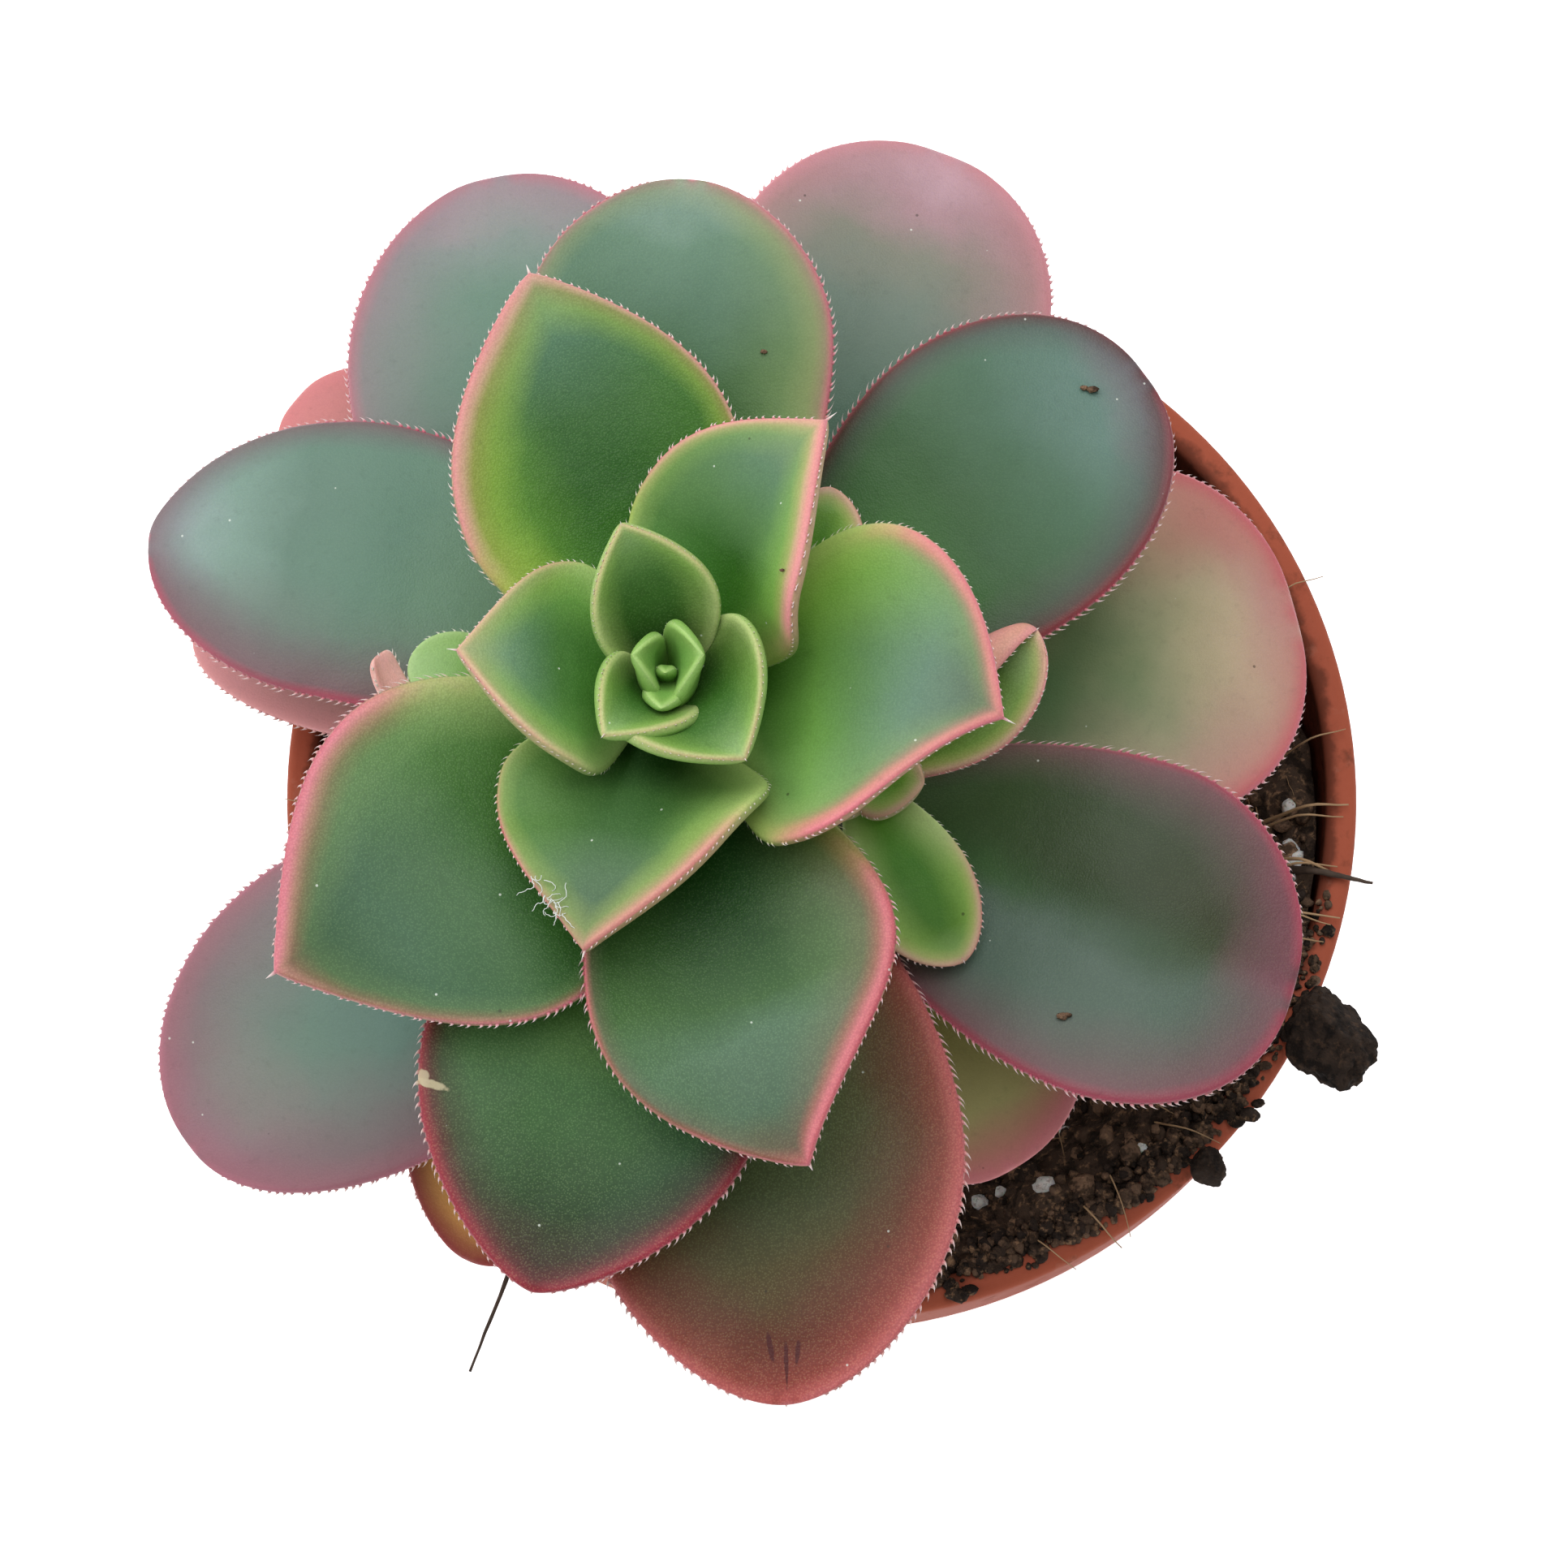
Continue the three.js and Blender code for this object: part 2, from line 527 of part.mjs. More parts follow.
// Side shoot: a stalk from the stem with a few small leaves, all one piece
function shootGeometry({ root, head, leaves }) {
  const end = vector(head);
  const axis = stemAxis(root);
  const outward = new THREE.Vector3(end.x - axis.x, end.y - axis.y, 0).normalize();
  const start = axis.addScaledVector(outward, stemRadius(root) + STALK_FOOT_OUT);
  const knee = start.clone().lerp(end, 0.6).setZ(start.z + 0.3);
  const section = new THREE.Shape().absarc(0, 0, STALK_RADIUS, 0, 2 * Math.PI);
  const stalk = new THREE.ExtrudeGeometry(section, {
    steps: 5,
    curveSegments: 4,
    extrudePath: new THREE.QuadraticBezierCurve3(start, knee, end),
  });
  let solid = toSolid(stalk);
  leaves.forEach((leaf) => {
    const away = new THREE.Vector3(leaf.tip[0] - end.x, leaf.tip[1] - end.y, 0).normalize();
    const foot = end.clone().addScaledVector(away, SHOOT_LEAF_OUT).addScaledVector(UP, -SHOOT_LEAF_DROP);
    solid = solid.add(smallLeaf(foot, leaf));
  });
  return mainBody(solid);
}

// A crumb of soil: a ball pushed in and out, flattened below where it rests on the lip
function clodGeometry({ radius, centre, flat, detail }) {
  const ball = new THREE.IcosahedronGeometry(radius, detail);
  return moveVertices(ball, (point) => {
    const bumps = Math.sin(1.7 * point.x + 0.5) + Math.sin(2.1 * point.y) + Math.sin(1.9 * point.z + 1);
    point.multiplyScalar(1 + CLOD_RELIEF * bumps);
    point.z *= flat;
    point.add(vector(centre));
    point.z = Math.max(point.z, POT_HEIGHT + GAP);
  });
}

function twigGeometry(points) {
  const section = new THREE.Shape().absarc(0, 0, TWIG_RADIUS, 0, 2 * Math.PI);
  return new THREE.ExtrudeGeometry(section, {
    steps: 10,
    curveSegments: 3,
    extrudePath: new THREE.CatmullRomCurve3(points.map(vector)),
  });
}

const plant = new THREE.Group();
plant.add(named('pot', potGeometry(), COLOURS.pot, 0.6));
plant.add(named('soil', soilGeometry(), COLOURS.soil, SOIL_ROUGHNESS));
plant.add(named('stem', stemGeometry(), COLOURS.stem, 0.8));
const bark = toSolid(stemGeometry());
LEAVES.forEach((leaf, i) => {
  const name = `leaf_${String(i + 1).padStart(2, '0')}`;
  let colour = COLOURS.outer;
  if (i < MIDDLE_LEAVES) colour = COLOURS.middle;
  if (i < INNER_LEAVES) colour = COLOURS.inner;
  plant.add(named(name, largeLeaf(leaf, bark), colour, LEAF_ROUGHNESS));
});
plant.add(named('heart', heartGeometry(), COLOURS.heart, LEAF_ROUGHNESS));
for (const [name, shoot] of Object.entries(SHOOTS)) {
  plant.add(named(name, shootGeometry(shoot), COLOURS.shoot, LEAF_ROUGHNESS));
}
for (const [name, clod] of Object.entries(CLODS)) {
  plant.add(named(name, clodGeometry(clod), COLOURS.soil, SOIL_ROUGHNESS));
}
for (const [name, points] of Object.entries(TWIGS)) {
  plant.add(named(name, twigGeometry(points), COLOURS.twig, 0.85));
}

export default plant;
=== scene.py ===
"""Potted aeonium: a rosette of fleshy toothed leaves on a short leaning stem, in a filled nursery pot.
Sizes are in millimetres and turned into metres where a mesh is made."""

import math
import random

import bmesh
import bpy
import numpy as np
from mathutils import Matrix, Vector, noise


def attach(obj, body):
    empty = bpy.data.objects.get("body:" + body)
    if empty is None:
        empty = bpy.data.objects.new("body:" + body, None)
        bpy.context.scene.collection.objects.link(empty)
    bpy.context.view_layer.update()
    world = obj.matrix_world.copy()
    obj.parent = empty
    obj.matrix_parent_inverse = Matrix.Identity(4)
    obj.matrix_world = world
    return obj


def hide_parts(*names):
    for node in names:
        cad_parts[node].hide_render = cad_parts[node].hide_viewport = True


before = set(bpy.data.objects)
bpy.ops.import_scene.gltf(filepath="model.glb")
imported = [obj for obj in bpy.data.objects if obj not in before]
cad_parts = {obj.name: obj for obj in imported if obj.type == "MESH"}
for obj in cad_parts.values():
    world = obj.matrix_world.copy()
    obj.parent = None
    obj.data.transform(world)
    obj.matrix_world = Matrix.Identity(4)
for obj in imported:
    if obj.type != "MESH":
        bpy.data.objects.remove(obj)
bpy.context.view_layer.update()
MM = 0.001

# Pot
# The pot is one injection moulding in brick-red polypropylene: a tapered wall, a collar that stiffens
# its top under a rounded lip, and a ring of drain holes in the floor. Everything else stands in it.
POT_TOP_RADIUS = 52.5
POT_BASE_RADIUS = 37.5
POT_HEIGHT = 92
POT_WALL = 1.3
POT_FLOOR = 1.6
COLLAR_HEIGHT = 12
COLLAR_STEP = 1.6
LIP_WIDTH = 3
DRAIN_HOLES = 8
DRAIN_HOLE_RADIUS = 3.5
DRAIN_RING_RADIUS = 29
BASE_ROUNDING = 1.2
LIP_ROUNDING = 1
POT_SIDES = 160
SHARP_ANGLE = math.radians(35)


def shade(code):
    """A colour as it looks on a screen, such as 0x8c4636, in the light values that shaders take"""
    parts = [(code >> shift & 255) / 255 for shift in (16, 8, 0)]
    return (*(p / 12.92 if p <= 0.04045 else ((p + 0.055) / 1.055) ** 2.4 for p in parts), 1)


class Wire:
    """One value inside a finish. Python's operators on it add Math nodes."""

    def __init__(self, finish, socket):
        self.finish = finish
        self.socket = socket

    def math(self, operation, *values):
        return self.finish.add("Math", {"operation": operation}, dict(enumerate(values)))

    def __add__(self, other):
        return self.math("ADD", self, other)

    def __sub__(self, other):
        return self.math("SUBTRACT", self, other)

    def __mul__(self, other):
        return self.math("MULTIPLY", self, other)

    def __truediv__(self, other):
        return self.math("DIVIDE", self, other)

    __radd__ = __add__
    __rmul__ = __mul__


class Finish:
    """A material in the making: one Principled shader and the nodes that feed it"""

    def __init__(self, name, **constants):
        self.material = bpy.data.materials.new(name)
        self.material.use_nodes = True
        self.tree = self.material.node_tree
        self.shader = self.tree.nodes["Principled BSDF"]
        self.feed(self.shader, {key.replace("_", " ").title(): value for key, value in constants.items()})
        self.place = self.add("TexCoord", output="Object")

    def feed(self, node, inputs):
        """Sets or links sockets, by name or by number"""
        for key, value in inputs.items():
            if isinstance(key, int):
                socket = node.inputs[key]
            else:
                socket = next(s for s in node.inputs if s.enabled and s.name.lower() == key.lower())
            if isinstance(value, Wire):
                self.tree.links.new(value.socket, socket)
            else:
                socket.default_value = value

    def add(self, kind, settings=None, inputs=None, output=0):
        """Adds a node: its settings first, then the values or wires of its sockets"""
        node = self.tree.nodes.new("ShaderNode" + kind)
        for key, value in (settings or {}).items():
            if key == "stops":
                while len(node.color_ramp.elements) < len(value):
                    node.color_ramp.elements.new(1)
                for element, (position, colour) in zip(node.color_ramp.elements, value):
                    element.position = position
                    element.color = colour
            else:
                setattr(node, key, value)
        self.feed(node, inputs or {})
        if isinstance(output, int):
            return Wire(self, node.outputs[output])
        return Wire(self, next(s for s in node.outputs if s.enabled and s.name == output))

    def mix(self, share, first, second, blend="MIX"):
        """Mixes two colours, each one a wire or a code such as 0x8c4636"""
        first, second = (shade(tone) if isinstance(tone, int) else tone for tone in (first, second))
        settings = {"data_type": "RGBA", "blend_type": blend}
        return self.add("Mix", settings, {"Factor": share, "A": first, "B": second}, "Result")

    def patches(self, base, tone, cover, low, high, *cloud):
        """Base with patches of a second colour, where the noise named by cloud rises from low to high"""
        return self.mix(self.step(self.noise(*cloud), low, high) * cover, base, tone)

    def step(self, value, low, high):
        """0 below low, 1 above high and a soft rise between them"""
        inputs = {"Value": value, "From Min": low, "From Max": high}
        return self.add("MapRange", {"interpolation_type": "SMOOTHSTEP"}, inputs)

    def noise(self, size, detail=2, roughness=0.5, stretch=None):
        """Cloudy noise from 0 to 1, with spots of about size millimetres"""
        place = self.place
        if stretch:
            place = self.add("VectorMath", {"operation": "MULTIPLY"}, {0: place, 1: stretch})
        inputs = {"Vector": place, "Scale": 1 / (size * MM), "Detail": detail, "Roughness": roughness}
        return self.add("TexNoise", None, inputs)

    def cells(self, size):
        """Distance to the middle of the nearest round cell of about size millimetres"""
        return self.add("TexVoronoi", None, {"Vector": self.place, "Scale": 1 / (size * MM)}, "Distance")

    def bump(self, height, depth, below=None):
        inputs = {"Height": height, "Distance": depth * MM}
        if below:
            inputs["Normal"] = below
        return self.add("Bump", None, inputs)

    def done(self, **inputs):
        self.feed(self.shader, {key.replace("_", " "): value for key, value in inputs.items()})
        return self.material


def add_piece(name, points, faces, fields, finish, slot, *nodes):
    """A piece of the plant: a smooth mesh that rides on the part and takes the place of CAD nodes. Fields
    are the values at its points that its colours follow."""
    mesh = bpy.data.meshes.new(name)
    mesh.from_pydata((np.asarray(points, float) * MM).tolist(), [], faces)
    shape = bmesh.new()
    shape.from_mesh(mesh)
    bmesh.ops.recalc_face_normals(shape, faces=shape.faces)
    shape.to_mesh(mesh)
    shape.free()
    mesh.shade_smooth()
    for field, values in fields.items():
        attribute = mesh.attributes.new(field, "FLOAT", "POINT")
        attribute.data.foreach_set("value", np.asarray(values, np.float32))
    mesh.materials.append(finish)
    piece = bpy.data.objects.new(name, mesh)
    bpy.context.scene.collection.objects.link(piece)
    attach(piece, "root")
    if nodes:
        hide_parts(*nodes)
    return piece


def ring_faces(rings, sides):
    """Faces between rings of points that follow one another"""
    corners = [(k, (k + 1) % sides) for k in range(sides)]
    return [(r * sides + k, r * sides + after, (r + 1) * sides + after, (r + 1) * sides + k)
            for r in range(rings - 1) for k, after in corners]


def turned(profile, sides):
    """Points and faces of a turned solid whose profile starts and ends on the axis"""
    turn = np.linspace(0, 2 * np.pi, sides, endpoint=False)
    rings = [np.stack((r * np.cos(turn), r * np.sin(turn), np.full(sides, z)), 1) for r, z in profile[1:-1]]
    points = np.vstack([*rings, (0, 0, profile[0][1]), (0, 0, profile[-1][1])])
    last = (len(rings) - 1) * sides
    faces = ring_faces(len(rings), sides)
    for k in range(sides):
        after = (k + 1) % sides
        faces += [(last + sides, after, k), (last + k, last + after, last + sides + 1)]
    return points, faces


def arc(centre, radius, first, last, steps=5):
    """Profile points along an arc, its angles in degrees"""
    turns = np.radians(np.linspace(first, last, steps))
    return [(centre[0] + radius * math.cos(a), centre[1] + radius * math.sin(a)) for a in turns]


wall_top_radius = POT_TOP_RADIUS - COLLAR_STEP
wall_top = POT_HEIGHT - COLLAR_HEIGHT
lip_inside = POT_TOP_RADIUS - LIP_WIDTH


def wall_inside(z):
    return POT_BASE_RADIUS + (wall_top_radius - POT_BASE_RADIUS) * z / wall_top - POT_WALL


pot_profile = [(0, 0)]
pot_profile += [(12, 0), (DRAIN_RING_RADIUS - 6, 0), (DRAIN_RING_RADIUS + 6, 0)]
pot_profile += arc((POT_BASE_RADIUS - BASE_ROUNDING, BASE_ROUNDING), BASE_ROUNDING, -90, 0)
pot_profile += [(wall_inside(z) + POT_WALL, z) for z in (8, 20, 32, 44, 56, 68, wall_top - 1.6)]
pot_profile += arc((wall_top_radius + 0.5, wall_top - 1.2), 0.5, 180, 90, 4)
pot_profile += arc((POT_TOP_RADIUS - 1, wall_top - 0.1), 0.6, -90, 0, 4)
pot_profile += [(POT_TOP_RADIUS - 0.3, wall_top + 2), (POT_TOP_RADIUS - 0.1, POT_HEIGHT - 3)]
pot_profile += arc((POT_TOP_RADIUS - LIP_ROUNDING, POT_HEIGHT - LIP_ROUNDING), LIP_ROUNDING, 0, 90, 6)
pot_profile += arc((lip_inside + 0.9, POT_HEIGHT - 0.9), 0.9, 90, 180, 6)
pot_profile += [(lip_inside + 0.1, POT_HEIGHT - 4), (lip_inside, wall_top + 1)]
pot_profile += [(wall_inside(z), z) for z in (wall_top - 1, 68, 50, 30, 12)]
pot_profile += arc((wall_inside(POT_FLOOR) - 1, POT_FLOOR + 1), 1, 0, -90)
pot_profile += [(DRAIN_RING_RADIUS, POT_FLOOR), (12, POT_FLOOR), (0, POT_FLOOR)]

plastic = Finish("Brick polypropylene", roughness=0.5, specular_ior_level=0.02)
height = plastic.add("SeparateXYZ", None, {"Vector": plastic.place}, "Z")
flat = plastic.add("VectorMath", {"operation": "MULTIPLY"}, {0: plastic.place, 1: (1, 1, 0)})
radius = plastic.add("VectorMath", {"operation": "LENGTH"}, {0: flat}, "Value")
moulded = plastic.mix(plastic.noise(30, 3), 0xa24a30, 0x8c3c28)
moulded = plastic.mix(plastic.noise(0.5, 2) * 0.25, moulded, 0xb4624a)
# Painted highlight: the top of the lip is painted lighter where the light from above falls on it
lip_top_highlight = plastic.step(height, (POT_HEIGHT - 1.6) * MM, (POT_HEIGHT - 0.4) * MM)
moulded = plastic.mix(lip_top_highlight * 0.35, moulded, 0xc0705a)
splash = plastic.step(plastic.noise(5, 5, 0.65), 0.56, 0.7) * plastic.step(height, 70 * MM, 91 * MM)
moulded = plastic.mix(splash * 0.55, moulded, 0x4a342a)
# The inside of the wall is darkened, nearly to black, from the bed up to just below the lip
inner_wall_dark = plastic.step(height, 77.5 * MM, 79.5 * MM) * plastic.step(height, 91.5 * MM, 89.5 * MM)
inner_wall_dark *= plastic.step(radius, (lip_inside + 0.6) * MM, lip_inside * MM)
moulded = plastic.mix(inner_wall_dark * (plastic.noise(1.5, 4, 0.6) * 0.6 + 0.5), moulded, 0x2a1c16)
uneven = radius + (plastic.noise(2.5, 4, 0.6) - 0.5) * 3 * MM
stain = plastic.step(uneven, (lip_inside + 1.6) * MM, (lip_inside + 0.4) * MM)
moulded = plastic.mix(stain * plastic.step(height, 88.5 * MM, 90.5 * MM) * 0.7, moulded, 0x4a2a20)
moulded = plastic.patches(moulded, 0xc08a76, 0.12, 0.62, 0.7, 3, 4, 0.6, (1, 1, 0.12))
grain = plastic.bump(plastic.noise(0.35, 2), 0.03, plastic.bump(plastic.noise(9, 2), 0.12))
plastic.done(base_color=moulded, roughness=plastic.noise(6, 3) * 0.2 + 0.38 + splash * 0.3, normal=grain)

pot = add_piece("pot_moulding", *turned(pot_profile, POT_SIDES), {}, plastic.material, "pot", "pot")
cutters = bmesh.new()
for i in range(DRAIN_HOLES):
    turn = 2 * math.pi * i / DRAIN_HOLES
    made = bmesh.ops.create_cone(cutters, cap_ends=True, segments=32, depth=8 * MM,
                                 radius1=DRAIN_HOLE_RADIUS * MM, radius2=DRAIN_HOLE_RADIUS * MM)
    at = Vector((DRAIN_RING_RADIUS * math.cos(turn), DRAIN_RING_RADIUS * math.sin(turn), 0)) * MM
    bmesh.ops.translate(cutters, verts=made["verts"], vec=at)
punch = bpy.data.objects.new("punch", bpy.data.meshes.new("punch"))
cutters.to_mesh(punch.data)
cutters.free()
bpy.context.scene.collection.objects.link(punch)
holes = pot.modifiers.new("drain holes", "BOOLEAN")
holes.operation = "DIFFERENCE"
holes.object = punch
bpy.context.view_layer.update()
pierced = bpy.data.meshes.new_from_object(pot.evaluated_get(bpy.context.evaluated_depsgraph_get()))
pot.modifiers.clear()
pot.data = pierced
pierced.shade_smooth()
pierced.set_sharp_from_angle(angle=SHARP_ANGLE)
bpy.data.objects.remove(punch)

# Soil
# Damp peat with white perlite and coir fibres, pressed round the stem by hand. It fills the pot to just
# below the lip and is heaped against the wall on the open side.
SOIL_TOP = 79.5
SOIL_LUMPS = 1.2
SOIL_BANK = 3.5
SOIL_GAP = 0.3
SOIL_SIDES = 224
BED_BANK = 7.5
BED_TONE = 0.15


def rise_of(x):
    x = np.clip(x, 0, 1)
    return x * x * (3 - 2 * x)


def soil_height(x, y):
    lumps = np.sin(0.42 * x + 1.3) * np.cos(0.37 * y - 0.6) + 0.6 * np.sin(0.9 * y + 0.31 * x)
    return SOIL_TOP + SOIL_LUMPS * lumps + SOIL_BANK * rise_of((0.75 * x - 0.66 * y - 12) / 35)


def rough(point, size, seed=0.0):
    """Smooth noise from about -1 to 1 with bumps of the given size in millimetres"""
    return noise.noise(Vector((point[0] / size + seed, point[1] / size, point[2] / size)))


def bed_height(x, y):
    """Height of the crumbly surface, which is pushed up against the wall on the open side"""
    place = (x, y, float(soil_height(x, y)))
    bank = BED_BANK * rise_of((math.hypot(x, y) - 38) / 9) * rise_of((0.35 * x - 0.94 * y - 2) / 30)
    lumps = 0.9 * rough(place, 4) + 0.9 * rough(place, 1.7, 5) + 0.45 * rough(place, 0.8, 9)
    return place[2] + bank + lumps


soil_radius = wall_inside(wall_top - COLLAR_STEP) - SOIL_GAP
soil_profile = [(0, POT_FLOOR + SOIL_GAP), (wall_inside(POT_FLOOR) - 1.5, POT_FLOOR + SOIL_GAP)]
soil_profile += [(wall_inside(z) - SOIL_GAP, z) for z in (4, 20, 40, 60, 76)]
soil_profile += [(soil_radius * share, SOIL_TOP) for share in np.linspace(1, 0.02, 64)]
soil_profile += [(0, SOIL_TOP)]
points, faces = turned(soil_profile, SOIL_SIDES)
for i in np.flatnonzero(points[:, 2] > SOIL_TOP - 1):
    points[i, 2] = bed_height(*points[i, :2])


def peat_finish(name, gap_shade, dark, light, dry):
    """Crumbly peat, each crumb of its own tone between dark and light, with black gaps of painted shade and
    drier flecks
    """
    peat = Finish(name, roughness=0.9, specular_ior_level=0.15)
    tone = peat.add("Attribute", {"attribute_name": "tone"}, output="Fac")
    earth = peat.mix(tone, dark, light)
    earth = peat.patches(earth, dry, 0.6, 0.52, 0.68, 0.7, 4, 0.6)
    # Black patches of painted shade, standing in for the shaded gaps between crumbs
    earth = peat.patches(earth, gap_shade, 0.75, 0.48, 0.6, 1.8, 4, 0.6)
    crumbly = peat.bump(peat.noise(0.4, 4, 0.7), 0.4, peat.bump(peat.noise(1.3, 3), 0.6))
    return peat.done(base_color=earth, roughness=peat.noise(1.5, 2) * 0.3 + 0.7, normal=crumbly)


peat = peat_finish("Damp peat", 0x1a1512, 0x342b26, 0xa48268, 0xb48e6c)
add_piece("soil_bed", points, faces, {"tone": np.full(len(points), BED_TONE)}, peat, "soil", "soil")


def lump(radius, centre, seed, stretch, detail, ragged, breaks=3, tone=None):
    """A knobbly crumb with some broken faces, of one tone where the finish asks for it"""
    ball = bmesh.new()
    bmesh.ops.create_icosphere(ball, subdivisions=detail, radius=1)
    made = np.array([vertex.co for vertex in ball.verts])
    corners = [tuple(vertex.index for vertex in face.verts) for face in ball.faces]
    ball.free()
    luck = random.Random(seed)
    for point in made:
        swell = 0.32 * rough(point, 0.9, seed) + 0.14 * rough(point, 0.35, seed + 3)
        point *= 1 + swell + ragged * (rough(point, 0.17, seed + 5) + 0.5 * rough(point, 0.07, seed + 8))
    for _ in range(breaks):
        way = Vector([luck.gauss(0, 1) for _ in range(3)]).normalized()
        beyond = np.maximum(made @ np.array(way) - 0.7, 0)
        made -= 0.85 * beyond[:, None] * np.array(way)
    fields = {} if tone is None else {"tone": np.full(len(made), tone)}
    return made * radius * np.array(stretch) + np.array(centre), corners, fields


def strand(path, radius, sides, taper=0.4):
    """A thin strand along a path, thinner towards its far end"""
    path = np.array(path, float)
    along = np.gradient(path, axis=0)
    along /= np.linalg.norm(along, axis=1)[:, None]
    side = np.cross(along, (0.13, 0.21, 0.97))
    side /= np.linalg.norm(side, axis=1)[:, None]
    over = np.cross(along, side)
    turn = np.linspace(0, 2 * np.pi, sides, endpoint=False)
    girth = radius * (1 - (1 - taper) * np.linspace(0, 1, len(path)))[:, None, None]
    ring = side[:, None] * np.cos(turn)[None, :, None] + over[:, None] * np.sin(turn)[None, :, None]
    points = (path[:, None] + girth * ring).reshape(-1, 3)
    faces = [tuple(range(sides))[::-1], tuple(range(len(points) - sides, len(points)))]
    return points, faces + ring_faces(len(path), sides), {}


def gather(shapes):
    """Several shapes, each of points, faces and fields, as one"""
    faces, count = [], 0
    for points, corners, _ in shapes:
        faces += [tuple(corner + count for corner in face) for face in corners]
        count += len(points)
    fields = {key: np.concatenate([fields[key] for _, _, fields in shapes]) for key in shapes[0][2]}
    return np.vstack([points for points, _, _ in shapes]), faces, fields


# Loose crumbs, perlite and fibres
# Broken peat lies on the bed in crumbs of all sizes, with puffed white perlite grains between them and
# tan coir fibres that stick out and catch on the lip.
CRUMBS = 2100
CRUMB_RADIUS = (0.3, 0.75)
HEAPED = 1300
HEAPED_RADIUS = (0.25, 0.75)
HEAP_HEIGHT = 2
PERLITE = 110
GRAIN_RADIUS = (0.4, 1)
FIBRES = 340
FIBRE_LENGTH = (4, 15)
FIBRE_RADIUS = (0.05, 0.12)
FIBRE_KNOTS = 10
LIP_REST = POT_HEIGHT + 0.4
chance = random.Random(11)

# Crumbs that lie on the lip, and grains that lie on top beside it: their place and radius
CRUMBS_ON_LIP = [(12.8, -50.1, 1.1), (14, -49.6, 0.7), (41, -32.8, 1), (39.8, -33.4, 0.8),
                 (42, -31.6, 0.6)]
BIG_GRAINS = [(46.2, -1, 0.7), (46, -5.6, 1), (46.6, -6.8, 1.2), (46, -8.4, 0.7), (23.9, -33.2, 0.8),
              (21.5, -39.4, 1), (25.5, -38.9, 0.8), (15.3, -40.2, 0.7), (30.8, -35.8, 0.7)]

# Stiffer bits of coir that lean on the lip: the turn round the pot of the foot, its distance from the
# middle, the length, the heading from straight outwards, and the radius
RIM_STICKS = [(-3, 41, 9.5, -2, 0.26), (-5, 40, 10, 9, 0.2), (-8, 42, 8, -14, 0.28), (-11, 41, 9, 6, 0.22),
              (-15, 42, 8.5, -10, 0.18), (-17, 40, 11, 4, 0.24), (4, 43, 8, 12, 0.16),
              (-20, 43, 7.5, 15, 0.2), (-47, 44, 8, 20, 0.14), (-52, 43, 10, -25, 0.12),
              (-60, 44, 9, 10, 0.16), (-68, 45, 8.5, 30, 0.12), (24, 44, 9, -8, 0.14),
              (172, 44, 8, 10, 0.14), (185, 43, 9, -15, 0.12)]


def on_the_bed(reach=1.0):
    """A chance place on the soil, within a share of its radius"""
    turn = chance.uniform(0, 2 * math.pi)
    distance = soil_radius * reach * math.sqrt(chance.random())
    x, y = distance * math.cos(turn), distance * math.sin(turn)
    return x, y, float(bed_height(x, y))


crumbs = []
for i in range(CRUMBS):
    size = chance.uniform(*CRUMB_RADIUS) * chance.uniform(0.6, 2)
    x, y, z = on_the_bed(0.99)
    stretch = [chance.uniform(0.7, 1.2) for _ in range(3)]
    detail = 3 if size > 1.1 else 2 if size > 0.6 else 1
    # The bed has dried paler on the right
    dryness = 0.35 * float(rise_of((x - 36) / 6) * rise_of((y + 16) / 6))
    tone = min(chance.random() ** 1.5 + dryness, 1)
    crumbs.append(lump(size, (x, y, z + 0.35 * size), i * 1.7, stretch, detail, 0.1, tone=tone))
add_piece("soil_crumbs", *gather(crumbs), peat, "soil")

# Peat that is heaped between the bank and the lip and spills over its inner edge. It lies between two turns
# round the pot and two distances from the edge, most of it at a third one.
HEAP_TURNS = (-94, -8, -50)
HEAP_REACH = (-3, 2.2, -0.1)
crumbs = []
heap = random.Random(5)
for i in range(HEAPED):
    turn = math.radians(heap.triangular(*HEAP_TURNS))
    distance = lip_inside + heap.triangular(*HEAP_REACH)
    x, y = distance * math.cos(turn), distance * math.sin(turn)
    size = heap.uniform(*HEAPED_RADIUS) * heap.uniform(0.7, 1.1)
    z = POT_HEIGHT + 0.4 * size
    if distance < lip_inside + 0.2:
        bed = bed_height(x, y)
        z = bed + heap.random() * min(POT_HEIGHT + 0.3 - bed, HEAP_HEIGHT)
    stretch = [heap.uniform(0.7, 1.2) for _ in range(3)]
    tone = 0.6 * heap.random() ** 2
    crumbs.append(lump(size, (x, y, z), 40 + i * 1.3, stretch, 2, 0.18, tone=tone))
for i, (x, y, size) in enumerate(CRUMBS_ON_LIP):
    middle = (x, y, POT_HEIGHT + 0.5 * size)
    crumbs.append(lump(size, middle, 70 + i, (1.1, 0.8, 0.7), 3, 0.15, tone=0.05))
add_piece("heaped_crumbs", *gather(crumbs), peat, "soil")

perlite = Finish("Perlite", roughness=0.85, subsurface_weight=0.3, subsurface_scale=0.001)
pores = perlite.noise(0.35, 3, 0.6)
puffed = perlite.mix(perlite.step(pores, 0.3, 0.5), 0x9c948c, 0xe4e2de)
puffed = perlite.patches(puffed, 0x9a8472, 0.5, 0.5, 0.75, 1.5, 3)
perlite.done(base_color=puffed, normal=perlite.bump(pores, 0.12))
grains = []
for i in range(PERLITE):
    x, y, _ = on_the_bed(0.96)
    grains.append((x, y, chance.uniform(*GRAIN_RADIUS)))
grains += BIG_GRAINS
for i, (x, y, size) in enumerate(grains):
    stretch = [chance.uniform(0.8, 1.2) for _ in range(3)]
    grains[i] = lump(size, (x, y, bed_height(x, y) + 0.5 * size), 90 + i * 2.3, stretch, 3, 0.1)
add_piece("perlite_grains", *gather(grains), perlite.material, "soil")

